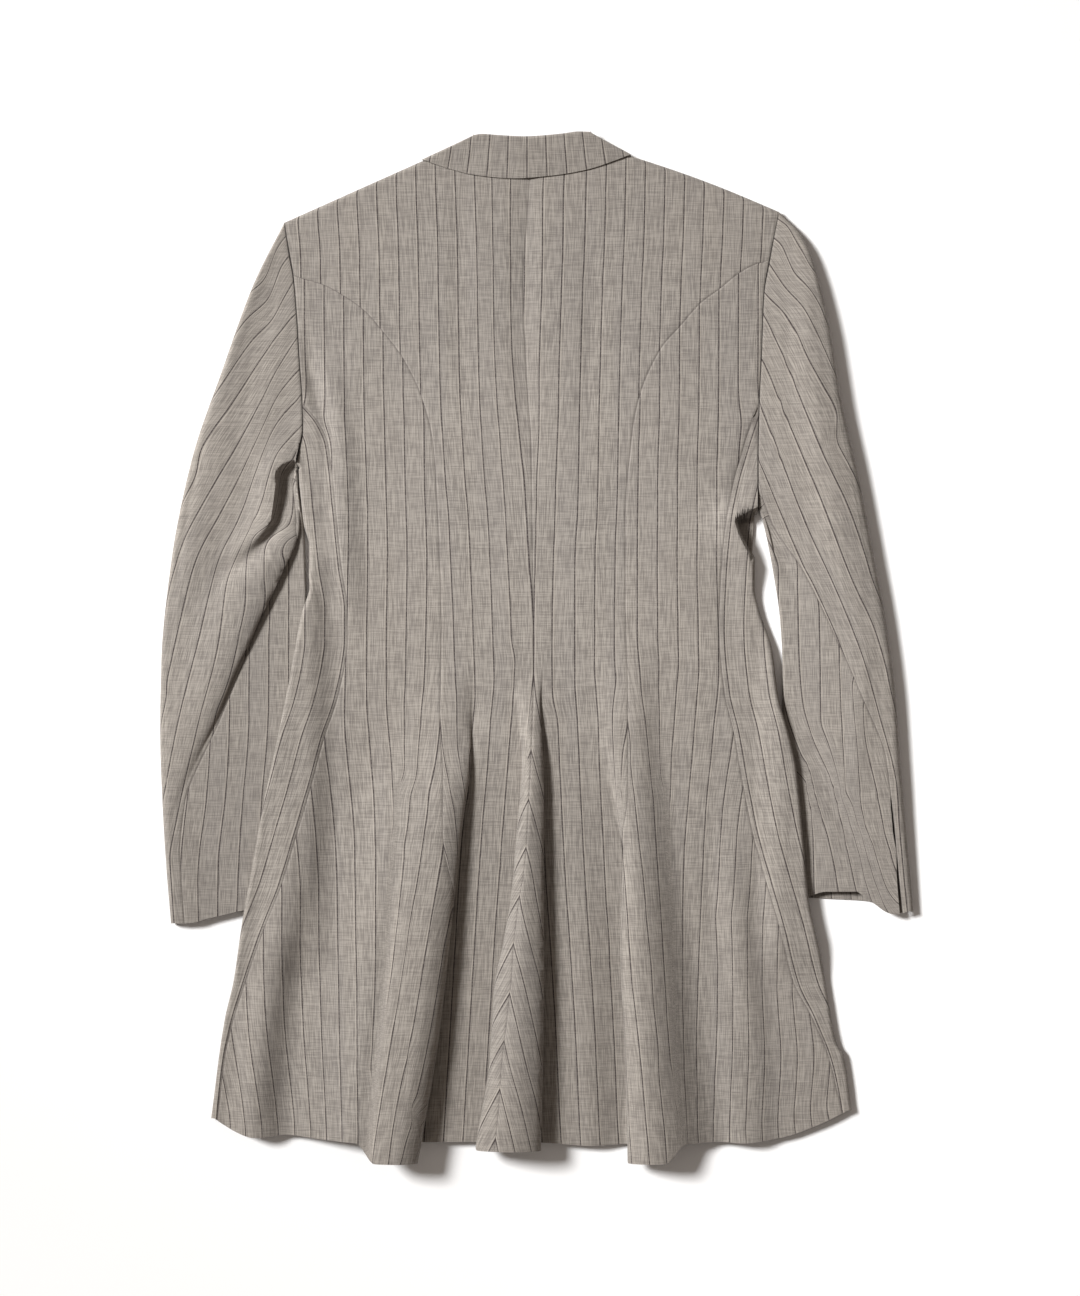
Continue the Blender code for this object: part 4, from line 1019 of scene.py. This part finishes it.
def clothPiece(name, grids):
    # a thin shell from one or more grids of outer points, each with its stripe count and seam distance
    corners, uvs, edges, faces = [], [], [], []
    for points, (counts, fade), away, flip in grids:
        base, (rows, columns) = sum(len(c) for c in corners), points.shape[:2]
        corners.append(points.reshape(-1, 3))
        uvs.append(np.stack((counts * stripeGap, -points[..., 1]), axis=-1).reshape(-1, 2))
        pair = [np.broadcast_to(value, (rows, columns)) for value in (away, fade)]
        edges.append(np.stack(pair, axis=-1).reshape(-1, 2))
        i = base + np.arange(rows * columns).reshape(rows, columns)
        quads = np.stack((i[:-1, :-1], i[:-1, 1:], i[1:, 1:], i[1:, :-1]), axis=-1).reshape(-1, 4)
        faces.append(quads[:, ::-1] if flip else quads)
    corners, uvs, edges, faces = (np.concatenate(part) for part in (corners, uvs, edges, faces))
    mesh = bpy.data.meshes.new(name)
    mesh.from_pydata((corners * mm).tolist(), [], faces.tolist())
    for layerName, values in (("cloth", uvs), ("edges", edges)):
        layer = mesh.uv_layers.new(name=layerName)
        layer.data.foreach_set("uv", (values[faces.reshape(-1)] * mm).reshape(-1).astype(np.float32))
    piece = bpy.data.objects.new(name, mesh)
    bpy.context.scene.collection.objects.link(piece)
    bpy.ops.object.select_all(action="DESELECT")
    piece.select_set(True)
    bpy.context.view_layer.objects.active = piece
    bpy.ops.object.mode_set(mode="EDIT")
    bpy.ops.mesh.select_all(action="SELECT")
    bpy.ops.mesh.remove_doubles(threshold=0.00002)
    bpy.ops.object.mode_set(mode="OBJECT")
    wall = piece.modifiers.new("wall", "SOLIDIFY")
    wall.thickness, wall.offset, wall.use_even_offset = clothThick * mm, -1, False
    bpy.ops.object.modifier_apply(modifier=wall.name)
    bpy.ops.object.shade_smooth_by_angle(angle=math.radians(38))
    kind = "sleeve" if "sleeve" in name else name.split("_")[0]
    piece.data.materials.append(cloths[kind])
    piece.name = name + "_cloth"
    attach(piece, "root")
    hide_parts(name)
    print(piece.name, len(piece.data.polygons), "faces",
          round(sum(face.area for face in piece.data.polygons) / 2, 4), "square metres")


for name, side in sides.items():
    flip = name == "right"
    centre = backCentre(side)
    pressCreases(centre, backCreases)
    counts = stripeCounts(centre, stripes["back_centre_" + name])
    away = sinkSeams(centre, (centre[:, 0].copy(), centre[:, -1].copy()))
    clothPiece("back_centre_" + name, [(centre, counts, away, flip)])

    panel = backSide(side)
    pressCreases(panel, backCreases)
    panel[..., 2] = np.maximum(panel[..., 2], lowestTop)
    counts = stripeCounts(panel, stripes["back_side_" + name])
    away = sinkSeams(panel, (panel[:, 0].copy(), panel[:, -1].copy()))
    clothPiece("back_side_" + name, [(panel, counts, away, flip)])

    lower, counts = frontLower(side)
    away, strip = np.full(lower.shape[:2], farOff), lower[:, :frontGrid["seamColumns"]]
    seams = (lower[:, 0].copy(), lower[0, :frontGrid["strip"] + 1].copy())
    away[:, :frontGrid["seamColumns"]] = sinkSeams(strip, seams)
    upper = frontUpper(side, lower)
    upperCounts = np.abs(upper[..., 0] - upper[:, :1, 0]) / stripeGap
    clothPiece("front_" + name, [(lower, (counts + stripes["front_" + name]["first"], 0), away, flip),
                                 (upper, (upperCounts, 0), farOff, not flip)])

    upperSleeve, underSleeve, edges = sleeveRings(name)
    counts = stripeCounts(upperSleeve, stripes["upper_sleeve_" + name], 0, sleeveGrid["top"] + 1)
    clothPiece("upper_sleeve_" + name, [(upperSleeve, counts, edges[0], flip)])
    counts = stripeCounts(underSleeve, stripes["under_sleeve_" + name], firstInner)
    clothPiece("under_sleeve_" + name, [(underSleeve, counts, edges[1], flip)])

fall = collarRows()
spread = 1 + collar["spread"] * np.clip(fall[..., 1] - collar["spreadFrom"], 0, 40)
counts = (fall[..., 0] - collar["firstStripe"]) * spread / collar["stripeGap"]
clothPiece("collar", [(fall, (counts, 0), farOff, True)])
stand = standRows()
clothPiece("collar_stand", [(stand, (stand[..., 0] / stripeGap, 0), farOff, True)])
print("cloth pieces made")

# Floor, light and camera
studio = {"cameraPlace": (0.0021, -0.0004, 3.2), "viewHeight": 1.08, "sensorHeight": 36,
          "sunPlace": (-2.3, 1.1, 2.05), "sunEnergy": 4.2, "sunAngle": 15,
          "spotShift": (-0.09, 0.13), "spotEnergy": 375, "spotAngle": 15.6, "spotRadius": 0.35,
          "room": (1.0, 0.88, 0.79, 1), "roomStrength": 0.21,
          "paper": (0.97, 0.97, 0.97, 1), "floorUnder": -0.0004}
bpy.ops.mesh.primitive_plane_add(size=12, location=(0, 0, studio["floorUnder"]))
floor = bpy.context.object
floor.name = "floor"
paper = bpy.data.materials.new("palePaper")
paper.use_nodes = True
paperInputs = paper.node_tree.nodes["Principled BSDF"].inputs
paperInputs["Base Color"].default_value = studio["paper"]
paperInputs["Roughness"].default_value = 0.9
floor.data.materials.append(paper)

# the sun lights all of it, and a soft spot from the same side lifts the middle of the back
bpy.ops.object.light_add(type="SUN", location=studio["sunPlace"])
key = bpy.context.object
key.name = "keyLight"
key.data.energy, key.data.angle = studio["sunEnergy"], math.radians(studio["sunAngle"])
key.rotation_euler = (-key.location).to_track_quat("-Z", "Y").to_euler()
bpy.ops.object.light_add(type="SPOT", location=studio["sunPlace"])
spot = bpy.context.object
spot.name = "middleLight"
spot.data.energy, spot.data.shadow_soft_size = studio["spotEnergy"], studio["spotRadius"]
spot.data.spot_size, spot.data.spot_blend = math.radians(studio["spotAngle"]), 1.0
spot.location.x += studio["spotShift"][0]
spot.location.y += studio["spotShift"][1]
spot.rotation_euler = key.rotation_euler
world = bpy.data.worlds.new("softRoom")
world.use_nodes = True
world.node_tree.nodes["Background"].inputs["Color"].default_value = studio["room"]
world.node_tree.nodes["Background"].inputs["Strength"].default_value = studio["roomStrength"]
bpy.context.scene.world = world
bpy.context.scene.view_settings.view_transform = "Standard"

bpy.ops.object.camera_add(location=studio["cameraPlace"])
camera = bpy.context.object
camera.data.sensor_fit = "VERTICAL"
camera.data.sensor_height = studio["sensorHeight"]
camera.data.lens = studio["sensorHeight"] * studio["cameraPlace"][2] / studio["viewHeight"]
bpy.context.scene.camera = camera
print("studio set")
